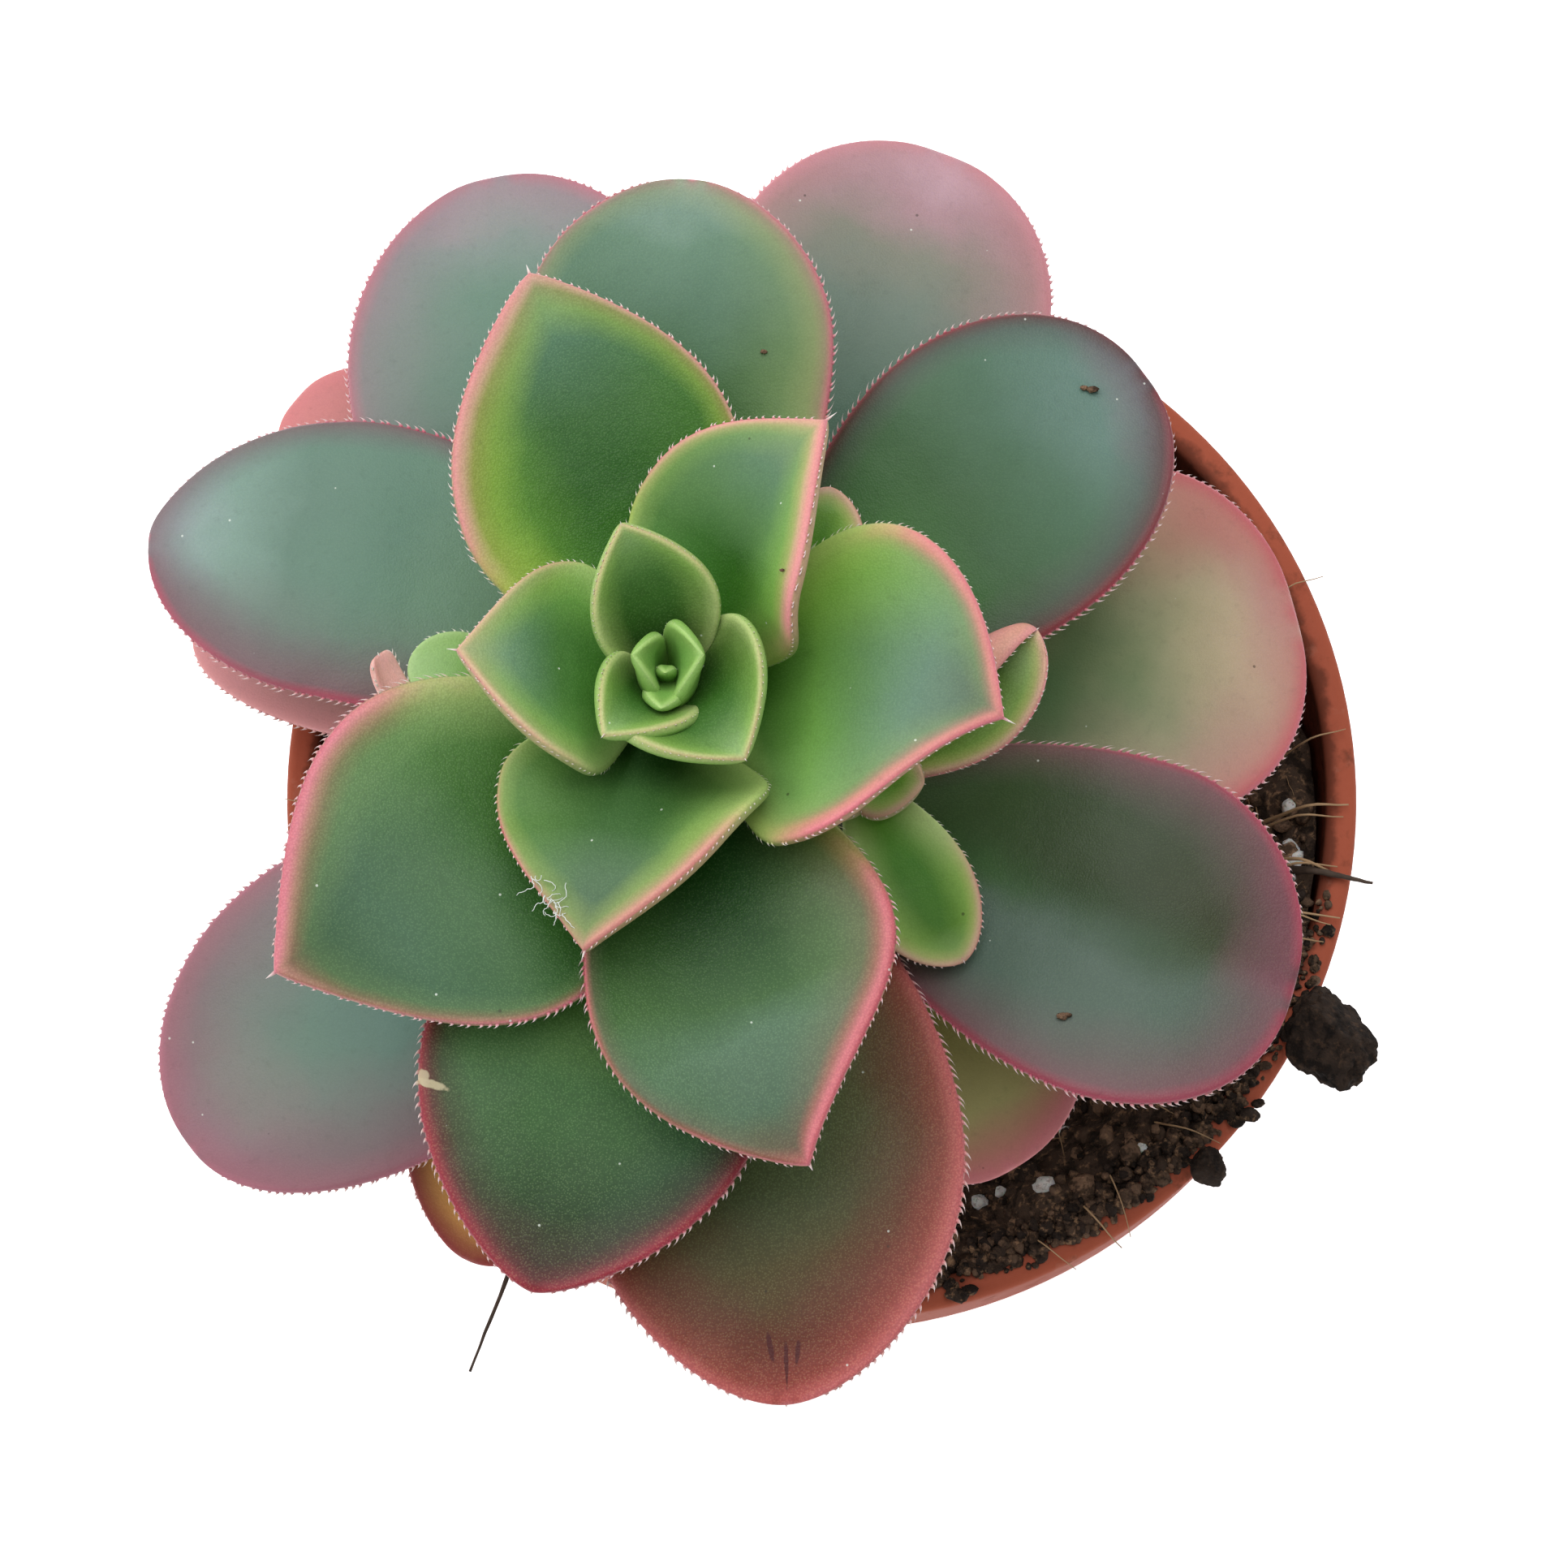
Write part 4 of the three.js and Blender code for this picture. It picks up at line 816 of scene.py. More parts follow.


# The leaves from the heart outwards and downwards: the height of the foot on the stem, the size of the
# teeth, the length of the point at the tip, the shape and the skin
# The dark tones near the foot of the inner leaves are painted shade deep in the rosette, where the leaves
# overlap
LEAVES = {
    "leaf_01": (143, 0.55, 1.5,
        dict(tip=(0, 16.5, 157), rise=40, dip=10, roll=-30, bend=4, width=(19.5, 25), cup=35,
            point=(1.1, 0.9), widest=(0.48, 0.42), pinch=0.1),
        dict(tones=[(0.3, 0x3a751c), (0.45, 0x2b6010), (0.6, 0x4d7641), (0.78, 0x5b7e5e),
            (0.95, 0x798e6e)], left=(0x59823f, 0.5, 0.3), right=(0x7aaf4f, 0.9, 0.5), under=0x86a05a,
            stipple=0.2, lean=-0.5, end=-0.2, lime=(0xb0c468, 0.5, 0.3), edges=[(0, 0xd8848c, 1),
            (0.5, 0xe49894, 0.95), (1, 0xdcac90, 0.8), (1.5, 0xc4b874, 0.5), (2.6, 0x9cc050, 0.2),
            (4.5, 0x9cc050, 0)])),
    "leaf_02": (140, 0.6, 1.6,
        dict(tip=(15, -8.5, 152), rise=35, dip=-10, bend=3, width=(28, 30), cup=25, point=(1, 1.05),
            widest=(0.56, 0.34), pinch=0.3),
        dict(tones=[(0.25, 0x457725), (0.4, 0x6ea048), (0.55, 0x648c58), (0.75, 0x61836c),
            (0.93, 0x5c7058)], left=(0x94c450, 0.9, 0.2), right=(0x8bb06b, 0.6, 0.2), under=0x86a05a,
            stipple=0.2, end=-0.4, lime=(0xb4cc70, 0.58, 0.35), edges=[(0, 0xc86474, 1),
            (0.5, 0xe4848c, 1), (1.2, 0xdc8c84, 0.85), (1.9, 0xb48874, 0.5), (2.8, 0x8a9a64, 0.25),
            (4.5, 0x8a9a64, 0)])),
    "leaf_03": (141.8, 0.55, 1.2,
        dict(tip=(-20.5, -28.5, 151), rise=35, roll=25, width=(23.5, 25), cup=25, point=(1.1, 0.95),
            widest=(0.36, 0.38), pinch=0.2),
        dict(tones=[(0.25, 0x1d4511), (0.4, 0x416b32), (0.55, 0x406735), (0.72, 0x557353),
            (0.9, 0x536d54)], left=(0x89b15c, 0.9, 0.3), right=(0x649142, 0.8, 0.3), under=0x86a05a,
            stipple=0.25, lean=0.5, lime=(0xb4cc78, 0.5, 0.4), edges=[(0, 0xcc7878, 1),
            (0.35, 0xd89488, 0.9), (0.8, 0xc0a478, 0.6), (1.5, 0xa8b860, 0.35), (3.5, 0xa3bb52, 0)])),
    "leaf_04": (144, 0.5, 1.3,
        dict(tip=(-31.5, -3, 154), rise=35, dip=10, roll=15, width=20, cup=25, point=1, widest=0.42,
            pinch=0.1),
        dict(tones=[(0.3, 0x467c2d), (0.5, 0x497738), (0.65, 0x567e54), (0.82, 0x6e916f),
            (0.96, 0x859977)], left=(0x79ac54, 0.7, 0.5), right=(0x79ac4a, 0.7, 0.5), under=0x86a05a,
            stipple=0.25, lime=(0xb8cc80, 0.5, 0.45), edges=[(0, 0xd0908a, 1), (0.35, 0xd8b090, 0.85),
            (0.8, 0xb0b070, 0.5), (1.8, 0xa3bb52, 0.25), (3.5, 0xa3bb52, 0)])),
    # leaf_05 is darker down its hollow middle, which is painted shade, and its lime flanks are partly their
    # own colour and partly painted sheen where they face the light
    "leaf_05": (138, 0.7, 1.3,
        dict(tip=(-26, 32.5, 149), rise=25, dip=10, width=(27, 25), cup=20, point=(0.75, 0.8),
            widest=(0.48, 0.52), pinch=0.25),
        dict(tones=[(0.3, 0x336812), (0.5, 0x23570d), (0.65, 0x316026), (0.82, 0x46704f),
            (0.93, 0x568262)], left=(0x6b9f31, 0.95, 0.5), right=(0x437819, 0.6, 0.4), under=0x86a05a,
            stipple=0.3, lean=0.5, lime=(0xa8bc4c, 0.35, 0.4), edges=[(0, 0xd07c80, 1),
            (0.35, 0xdc9490, 0.95), (0.8, 0xd4a08a, 0.75), (1.4, 0xa8984e, 0.5), (2.6, 0x98b040, 0.4),
            (5, 0x8aac3c, 0)])),
    "leaf_06": (138.2, 0.75, 1,
        dict(tip=(-1.5, -45.5, 144), rise=20, bend=-3.5, width=(29.5, 26), cup=20, point=(1, 0.75),
            widest=(0.52, 0.6), pinch=0.35),
        dict(tones=[(0.3, 0x1a4911), (0.48, 0x19480f), (0.62, 0x325c26), (0.72, 0x507255),
            (0.86, 0x4a684e), (0.96, 0x514326)], left=(0x6e8755, 0.7, 0.3), right=(0x466e2e, 0.6, 0.2),
            under=0x7d8f5c, stipple=0.35, lean=0.6, lime=(0x90b04c, 0.3, 0.2), edges=[(0, 0xc05664, 1),
            (0.6, 0xd4747c, 0.95), (1.1, 0xa8645c, 0.75), (1.9, 0x746050, 0.4), (4.5, 0x5a6a50, 0)])),
    "leaf_07": (135, 0.8, 1.4,
        dict(tip=(-47.5, -28.5, 142), rise=20, width=(34, 31.5), cup=20, point=0.85, widest=0.52,
            pinch=0.3),
        dict(tones=[(0.3, 0x3e7021), (0.46, 0x316319), (0.6, 0x40673c), (0.75, 0x3d6344), (0.9, 0x285128),
            (0.97, 0x44381f)], left=(0x1c4d12, 0.7, 0.1), right=(0x6b9453, 0.8, 0.3), under=0x7d8f5c,
            stipple=0.35, lean=-0.6, lime=(0xa8bc70, 0.2, 0.45), edges=[(0, 0xc86878, 1),
            (0.45, 0xdc808c, 0.95), (0.95, 0xb88070, 0.8), (1.6, 0x907050, 0.5), (2.8, 0x6f8a50, 0.25),
            (5, 0x6f8a50, 0)])),
    "leaf_08": (129, 0.8, 0,
        dict(tip=(-12, 45, 139), rise=25, dip=10, bend=2, width=(29.5, 27), cup=15, point=0.52,
            widest=0.68),
        dict(tones=[(0.4, 0x2d5a1b), (0.6, 0x35602e), (0.75, 0x4f7259), (0.88, 0x60826b),
            (0.97, 0x849d90)], left=(0x5b7d60, 0.3, 0.3), right=(0x789153, 0.7, 0.5), under=0x8a8f6c,
            stipple=0.15, lean=-0.35, lime=(0xb0b874, 0.2, 0.45), edges=[(0, 0xc05c70, 1),
            (0.3, 0xc87480, 0.9), (0.7, 0xa47c6c, 0.55), (1.5, 0xa09c68, 0.3), (3.5, 0x8a9a60, 0)])),
    "leaf_09": (119, 0.85, 0,
        dict(tip=(29.5, 30.5, 127), rise=20, dip=-10, bend=2, width=29, cup=10, point=0.46, widest=0.64),
        dict(tones=[(0.22, 0x7dad4c), (0.36, 0x3f6f2c), (0.55, 0x365d33), (0.72, 0x496c55),
            (0.88, 0x607e73), (0.97, 0x838086)], left=(0x496c49, 0.3, 0.2), right=(0x2e532e, 0.5, 0.2),
            under=0x84786c, stipple=0.12, lean=-0.3, edges=[(0, 0xb04c5c, 1), (0.3, 0x883c44, 0.95),
            (0.9, 0x58383a, 0.85), (2.2, 0x4e484a, 0.5), (5, 0x5a5c58, 0)])),
    "leaf_10": (131, 0.95, 0.7,
        dict(tip=(-25.5, -55, 134), rise=10, dip=-5, width=31, cup=15, point=0.66, widest=0.6, pinch=0.1),
        dict(tones=[(0.5, 0x5c8941), (0.65, 0x396a2e), (0.75, 0x2f5726), (0.88, 0x203f15),
            (0.97, 0x342510)], left=(0x2b4f37, 0.5, 0.5), right=(0x65875c, 0.7, 0.2), under=0x84786c,
            stipple=0.5, end=0.4, marks=[(0.714, -0.93, 0.008, 0.12, 0xc8bc98),
            (0.706, -0.97, 0.015, 0.04, 0xc8b898)], edges=[(0, 0xb04456, 1), (0.35, 0x98323f, 0.95),
            (0.9, 0x642a2c, 0.85), (1.8, 0x42281f, 0.5), (4, 0x30301c, 0)])),
    "leaf_11": (113, 0.9, 0,
        dict(tip=(42.5, -26, 120), rise=10, dip=-15, bend=-3, width=32, cup=10, point=0.45, widest=0.68,
            crease=0.5),
        dict(tones=[(0.3, 0x4a7040), (0.5, 0x35522e), (0.7, 0x2e4a2a), (0.85, 0x3c4a2e), (0.96, 0x80505a)],
            left=(0x36351e, 0.3, 0.6), right=(0x5a6e62, 0.95, 0.8), spread=(-0.1, 0.3), under=0x84786c,
            stipple=0.15, lean=-0.2, end=0.8, edges=[(0, 0xbc5068, 1), (0.3, 0x9c4858, 0.95),
            (0.8, 0x804c58, 0.7), (2.2, 0x745058, 0.45), (5, 0x685c5c, 0)])),
    "leaf_12": (117, 1, 0.7,
        dict(tip=(-3.5, -63.5, 122), rise=5, dip=-10, width=35, cup=10, point=0.54, widest=0.61,
            pinch=0.1),
        dict(tones=[(0.5, 0x5f7444), (0.68, 0x546038), (0.8, 0x5c5028), (0.9, 0x5e2f17), (0.98, 0x73372d)],
            left=(0x6a291f, 0.5, 0.8), right=(0x744e2e, 0.3, 0.6), under=0x8a6a5c, stipple=0.5, lean=0.35,
            end=0.6, marks=[(0.915, -0.11, 0.025, 0.03, 0x4a1418), (0.94, 0.03, 0.035, 0.025, 0x4a1418),
            (0.925, 0.14, 0.02, 0.025, 0x4a1418)], edges=[(0, 0xd07478, 1), (0.5, 0xbc5c58, 0.95),
            (1.2, 0x9c443a, 0.75), (3, 0x7c382a, 0.45), (6, 0x703a28, 0)])),
    "leaf_13": (115, 0.85, 0,
        dict(tip=(-63, 17.5, 118), rise=10, dip=-20, bend=-6.5, width=(27, 28), cup=-10,
            point=(0.45, 0.62), widest=(0.7, 0.58)),
        dict(tones=[(0.45, 0x6f9076), (0.6, 0x5d7f6c), (0.75, 0x627f70), (0.88, 0x7c978b),
            (0.97, 0x98a6a6)], left=(0x6c6a66, 0.4, 0.8), right=(0x6c8c7c, 0.2, 0.2), under=0x9a7a74,
            stipple=0.1, lean=0.5, edges=[(0, 0xc45c70, 1), (0.3, 0xac5064, 0.9), (0.8, 0x7c5660, 0.75),
            (2.4, 0x705c62, 0.55), (5, 0x686468, 0)])),
    "leaf_14": (109, 0.8, 0,
        dict(tip=(-32.5, 54.5, 114), rise=10, dip=-10, bend=5, width=(38, 31), point=(0.55, 0.42),
            widest=(0.62, 0.7)),
        dict(tones=[(0.6, 0x577c68), (0.8, 0x678574), (0.9, 0x7d8d85), (0.97, 0xa39196)],
            left=(0x837c7f, 0.1, 0.5), right=(0x818181, 0.1, 0.4), under=0x9a7a74, stipple=0.08, end=0.5,
            edges=[(0, 0xcc7c8a, 1), (0.4, 0xb07480, 0.8), (1.2, 0x927c84, 0.5), (3, 0x8a8488, 0.25),
            (6, 0x8a8488, 0)])),
    "leaf_15": (105.8, 0.8, 0,
        dict(tip=(12.5, 58.8, 109), rise=10, dip=-20, bend=3, width=(33, 31.5), point=(0.45, 0.48),
            widest=0.7, crease=0.4),
        dict(tones=[(0.5, 0x4d6a58), (0.68, 0x68796c), (0.8, 0x7e7f71), (0.9, 0xa8868c), (0.97, 0xc5a4b0)],
            left=(0x846d68, 0.2, 0.4), right=(0xa27779, 0.5, 0.5), under=0xa07a74, stipple=0.08,
            edges=[(0, 0xdc8e98, 1), (0.6, 0xc8848c, 0.8), (2, 0xb48084, 0.5), (5, 0xb08a90, 0.2),
            (8, 0xb08a90, 0)])),
    "leaf_16": (103.7, 0.9, 0,
        dict(tip=(45.5, 14, 104), rise=5, dip=-25, bend=1.5, width=35.5, point=0.42, widest=0.67),
        dict(tones=[(0.45, 0x5f8450), (0.62, 0x7d9062), (0.75, 0xa9a07c), (0.87, 0xbaa48a),
            (0.96, 0xbc8c88)], left=(0xbc6e64, 0.7, 0.9), right=(0xb08a80, 0.5, 0.7), under=0xa07a74,
            stipple=0.08, veil=(0.25, 0xd2c49c), edges=[(0, 0xd07080, 1), (0.6, 0xc4686c, 0.9),
            (2, 0xc08078, 0.6), (4.5, 0xbc8c80, 0.3), (8, 0xbc8c80, 0)])),
    "leaf_17": (106, 0.8, 0,
        dict(tip=(-59, -38, 104), rise=5, dip=-20, bend=-2, width=(30.5, 33), point=(0.5, 0.45),
            widest=(0.62, 0.66)),
        dict(tones=[(0.6, 0x6a8a7e), (0.8, 0x6e8879), (0.9, 0x81857a), (0.97, 0x997a80)],
            left=(0x715d60, 0.35, 0.6), right=(0x6e6462, 0.15, 0.5), under=0x9a7a74, stipple=0.08, end=0.8,
            edges=[(0, 0xb87080, 1), (0.5, 0x9c6672, 0.85), (2, 0x8c6a74, 0.6), (5, 0x8c7a80, 0.3),
            (8, 0x8c7a80, 0)])),
    "leaf_18": (102, 0.8, 0,
        dict(tip=(17.5, -39.5, 101), dip=-25, width=(26, 20), point=0.45, widest=0.7),
        dict(tones=[(0.6, 0x8d8e4c), (0.85, 0xb1ae72), (0.97, 0xb67d6e)], left=(0x945342, 0.6, 0.3),
            right=(0x9b8e5d, 0.3, 0.3), under=0xa07a64, stipple=0.1, edges=[(0, 0xdc8c90, 1),
            (1, 0xd07c80, 0.9), (2.5, 0xc88678, 0.5), (6, 0xc09a7a, 0)])),
    "leaf_19": (104, 0.8, 0,
        dict(tip=(-60.5, 13.5, 102), dip=-25, width=(16, 20), point=0.45, widest=0.7),
        dict(tones=[(0.6, 0xa89080), (0.85, 0xd8a09a), (0.97, 0xeeaaaa)], left=(0xc88a8a, 0.4, 0.4),
            right=(0xc88a8a, 0.4, 0.4), under=0xa07a74, stipple=0.08, edges=[(0, 0xe8a0a0, 1),
            (1.2, 0xe0989a, 0.8), (3, 0xd8989a, 0.4), (6, 0xd8989a, 0)])),
    "leaf_20": (98, 0.8, 0,
        dict(tip=(-51.5, 36.5, 101), dip=-25, width=20, point=0.45, widest=0.72),
        dict(tones=[(0.7, 0xb08078), (0.95, 0xc8807e)], left=(0xc07c7a, 0.4, 0.4),
            right=(0xc07c7a, 0.4, 0.4), under=0xa07a74, stipple=0.08, edges=[(0, 0xd88888, 1),
            (1.2, 0xd08082, 0.8), (3, 0xc88080, 0.4), (6, 0xc88080, 0)])),
    "leaf_21": (98, 0.8, 0,
        dict(tip=(-34, -47, 95), dip=-35, bend=-3, width=(20, 27), point=(0.5, 0.62), widest=(0.7, 0.6)),
        dict(tones=[(0.6, 0xbaa04a), (0.85, 0xdead57), (0.96, 0xc3874a)], left=(0xc3874a, 0.3, 0.4),
            right=(0xd4a252, 0.3, 0.3), under=0x9a7a5a, stipple=0.15, edges=[(0, 0xa03c40, 1),
            (0.6, 0x8c3434, 0.95), (1.6, 0x8e4634, 0.7), (3, 0xb07848, 0.2), (5, 0xb07848, 0)])),
}

LEAF_RINGS = ["leaf_inner"] * 5 + ["leaf_middle"] * 7 + ["leaf_outer"] * 9
TOOTH_COLOURS = {"leaf_inner": 0xf0e4de, "leaf_middle": 0xdec8c6, "leaf_outer": 0xdec8c6}
blades = {}
for number, ((name, leaf), slot) in enumerate(zip(LEAVES.items(), LEAF_RINGS), 1):
    foot, teeth, mucro, shape, skin = leaf
    blades[name] = Blade(on_the_stem(foot, np.array(shape["tip"], float)), **shape)
    finish = leaf_finish(f"{name} skin", teeth=TOOTH_COLOURS[slot], **skin)
    made = leaf_shape(blades[name], teeth, mucro=mucro, seed=number)
    add_piece(f"{name}_blade", *made, finish, slot, name)

# Side shoots
# Small leafy heads that have sprouted from the stem below the rosette. Their leaves are young: thinner,
# brighter green and edged with cream and pink.
STALK_RADIUS = 1.6
SMALL_STOUT = 0.6
SMALL_ROWS = (14, 20)
SHOOTS = {
    "shoot_right": (117, (2.5, -6.6, 124), [
        dict(tip=(12.6, -23.6, 122), rise=30, dip=-20, width=(9.5, 12), cup=15, point=0.6, widest=0.62),
        dict(tip=(19, 4.6, 133), rise=25, dip=25, width=(15, 14), cup=(330, 35), point=0.5, widest=0.62,
             skin="blushed"),
        dict(tip=(8.9, -8.6, 128.5), rise=60, dip=20, width=(6, 9), cup=40, point=0.7, widest=0.6),
        dict(tip=(4.5, 0.5, 129), rise=60, dip=40, width=5, cup=45, point=0.8, widest=0.5),
        dict(tip=(-0.5, -12, 128), rise=50, dip=20, width=6, cup=40, point=0.8, widest=0.5)]),
    "shoot_left": (119, (-25, 1, 123), [
        dict(tip=(-37.9, 3.1, 126), rise=25, dip=5, width=8, cup=20, point=0.5, widest=0.65, skin="pale"),
        dict(tip=(-40.3, 3.2, 129.5), dip=60, bend=7, width=3.6, cup=30, point=0.15, widest=0.92,
             skin="pink"),
        dict(tip=(-29, 5.5, 128), rise=50, dip=30, width=5, cup=45, point=0.8, widest=0.5),
        dict(tip=(-29, -4, 127), rise=50, dip=30, width=5, cup=45, point=0.8, widest=0.5)]),
    "shoot_back": (124, (-1.5, 6.5, 127), [
        dict(tip=(0.5, 18.5, 131), rise=20, dip=20, width=8, cup=25, point=0.6, widest=0.6),
        dict(tip=(5.5, 11, 131), rise=30, dip=20, width=7, cup=25, point=0.6, widest=0.6),
        dict(tip=(5, 4, 131), rise=50, dip=20, width=5, cup=40, point=0.7, widest=0.6)]),
}
YOUNG_EDGES = [(0, 0xdc9c90, 1), (0.4, 0xdcb498, 0.9), (0.9, 0xc0c074, 0.65), (1.8, 0x9cc448, 0.3),
               (4, 0x9cc448, 0)]
YOUNG_SKINS = {
    "green": leaf_finish("Young leaf skin", reach=4.0, edges=YOUNG_EDGES, under=0x8fae6a, stipple=0.15,
                         tones=[(0.2, 0x6cac2c), (0.5, 0x4c8820), (0.8, 0x548434), (0.96, 0x8ca878)],
                         left=(0xb8d880, 0.7, 0.5), right=(0xb8d880, 0.7, 0.5), lime=(0xb8cc84, 0.5, 0.4)),
    "blushed": leaf_finish("Blushed leaf skin", reach=4.0, edges=YOUNG_EDGES, under=0xf48c9c, stipple=0.3,
                           tones=[(0.3, 0x4c7c2c), (0.6, 0x4c7434), (0.8, 0x5c8048), (0.96, 0x9cb088)],
                           left=(0x88a868, 0.4, 0.3), right=(0x90a070, 0.3, 0.4)),
    "pale": leaf_finish("Pale leaf skin", reach=4.0, under=0x9cc078, stipple=0.15,
                        tones=[(0.2, 0x5c9030), (0.5, 0x7cac50), (0.8, 0x94bc74), (0.96, 0xa8cc8c)],
                        left=(0xa4cc7c, 0.5, 0.4), right=(0xa4cc7c, 0.5, 0.4),
                        edges=[(0, 0xc8dcac, 0.9), (0.3, 0xb4d090, 0.6), (1, 0x9cc46c, 0.2),
                               (3, 0x9cc46c, 0)]),
    "pink": leaf_finish("Pink leaf skin", reach=4.0, under=0xe8aca0, stipple=0.2,
                        tones=[(0.3, 0x9cb874), (0.6, 0xf0b4a8), (0.95, 0xffc0bc)],
                        left=(0xe09c94, 0.5, 0.5), right=(0xf0dcd0, 0.4, 0.4),
                        edges=[(0, 0xf4dcd4, 1), (0.25, 0xeca8a4, 0.7), (0.8, 0xeca8a4, 0.3),
                               (2, 0xeca8a4, 0)]),
}
for name, (root, head, leaves) in SHOOTS.items():
    head = np.array(head, float)
    start = on_the_stem(root, head)
    knee = start + 0.6 * (head - start)
    knee[2] = start[2] + 0.3
    s = np.linspace(0, 1, 16)[:, None]
    route = (1 - s) ** 2 * start + 2 * (1 - s) * s * knee + s**2 * head
    stalk, corners, _ = strand(route, STALK_RADIUS, 20, 0.85)
    plain = {"margin": 9, "along": 0.1, "across": 0, "under": 1, "glass": 0}
    coats = {"green": [(stalk, corners, {key: np.full(len(stalk), value) for key, value in plain.items()})]}
    for n, leaf in enumerate(leaves):
        shape = dict(leaf)
        coat = shape.pop("skin", "green")
        away = level(np.array(leaf["tip"]) - head)
        blade = Blade(head + 0.3 * away - (0, 0, 0.8), stout=SMALL_STOUT, **shape)
        made = leaf_shape(blade, 0.55, first_tooth=0.25, mucro=0.7, rows=SMALL_ROWS, seed=40 + n)
        coats.setdefault(coat, []).append(made)
    for coat, shapes in coats.items():
        add_piece(f"{name}_{coat}", *gather(shapes), YOUNG_SKINS[coat], "shoot", name)

# Heart
# The growing point of the rosette: three leaves about to open and a tight bud of thick-lipped young leaves
# that wrap round each other.
OPENING_LEAVES = 3
HEART_ROWS = (16, 22)
# How far out and up each leaf starts from the tip of the stem, and its shape
HEART_LEAVES = [
    (1.6, 1.4, dict(tip=(-17.4, 6.4, 160), rise=55, dip=50, width=(10.4, 13.2), cup=50, point=(1, 0.9),
         widest=(0.4, 0.42), clasp=0.6, stout=0.75)),
    (1.6, 1.4, dict(tip=(-6.9, -13.2, 156.5), rise=65, dip=15, width=(18, 16), cup=68, point=1,
         widest=(0.3, 0.32), clasp=0.75, stout=0.85)),
    (1.6, 1.4, dict(tip=(-18.9, -11.4, 157.3), rise=65, dip=20, width=(11, 10), cup=68, point=(1.1, 1),
         widest=(0.4, 0.35), clasp=0.75, stout=0.85)),
    (0.9, 2.2, dict(tip=(-10.4, -4.4, 157.8), rise=65, dip=40, width=(8, 7.2), cup=62, point=1,
         widest=(0.6, 0.5), clasp=0.8, stout=0.75)),
    (0.9, 2.2, dict(tip=(-16.5, -4.4, 157.6), rise=65, dip=40, width=5.6, cup=62, point=1,
         widest=(0.5, 0.6), clasp=0.8, stout=0.7)),
    (0.5, 2.6, dict(tip=(-14, -8.8, 156.6), rise=60, dip=50, width=3.6, cup=50,
         point=0.9, widest=0.6, clasp=0.8, stout=0.65)),
    (0.1, 3, dict(tip=(-13.7, -5.7, 156.6), rise=85, dip=60, width=1.8, cup=40,
         point=0.8, widest=0.55, clasp=0.8, stout=0.5)),
]
foot = stem_axis(STEM_TOP + 0.3)
opening, closed = [], []
for n, (out, up, shape) in enumerate(HEART_LEAVES):
    blade = Blade(foot + out * level(np.array(shape["tip"]) - foot) + (0, 0, up), **shape)
    whorl, tooth_size, mucro = (opening, 0.32, 0.7) if n < OPENING_LEAVES else (closed, 0.15, 0.25)
    whorl.append(leaf_shape(blade, tooth_size, first_tooth=0.3, mucro=mucro, rows=HEART_ROWS, seed=60 + n))
# The dark tones near the foot of the opening leaves are painted shade: these steep leaves face away from the
# light, deep in the bud
heart_skin = leaf_finish("Heart skin", reach=4.0, under=0x86b45a, stipple=0.25, spread=(0.3, 1.0),
                         tones=[(0.2, 0x1e3c10), (0.5, 0x34601e), (0.65, 0x44702e), (0.8, 0x608846),
                                (0.95, 0x84a46c)],
                         left=(0x94bc58, 0.35, 0.4), right=(0x94bc58, 0.35, 0.4), lime=(0xc0d088, 0.5, 0.5),
                         edges=[(0, 0xd4b490, 0.95), (0.3, 0xc4c484, 0.75), (0.7, 0x9cc060, 0.4),
                                (1.4, 0x8cb850, 0.12), (3, 0x8cb850, 0)])
add_piece("heart_leaves", *gather(opening), heart_skin, "heart", "heart")
bud_skin = leaf_finish("Bud skin", reach=4.0, under=0x7cac50, stipple=0.15, spread=(0.3, 1.0),
                       tones=[(0.2, 0x50802c), (0.5, 0x6c9c48), (0.8, 0x6c9c48), (0.95, 0x74a04c)],
                       left=(0xa4cc70, 0.4, 0.4), right=(0xa4cc70, 0.4, 0.4),
                       edges=[(0, 0xb8d488, 0.8), (0.3, 0xa8cc74, 0.5), (0.8, 0x9cc460, 0.15),
                              (2, 0x9cc460, 0)])
add_piece("heart_bud", *gather(closed), bud_skin, "heart", "heart")

# Crumbs and twigs on the lip
# Potting left two lumps of damp peat and two dry twigs on the lip. They are loose, and their own weight
# holds them where they rest.
CLODS = {"clod_large": (4.7, (48.6, -25.6, 95.2), (0.84, 0.98, 0.75)),
         "clod_small": (2.1, (36.6, -38, 93.6), (0.9, 0.9, 0.8))}
clod = peat_finish("Dark peat", 0x120e0c, 0x201a17, 0x46382f, 0x5c4636)
for n, (name, (radius, centre, stretch)) in enumerate(CLODS.items()):
    points, faces, _ = lump(radius, centre, 300 + 7 * n, stretch, 5, 0.1, 6)
    points[:, 2] = np.maximum(points[:, 2], POT_HEIGHT + 0.05)
    tone = [0.5 + 0.5 * rough(point, 0.9, 4) for point in points]
    add_piece(f"{name}_peat", points, faces, {"tone": tone}, clod, "soil", name)

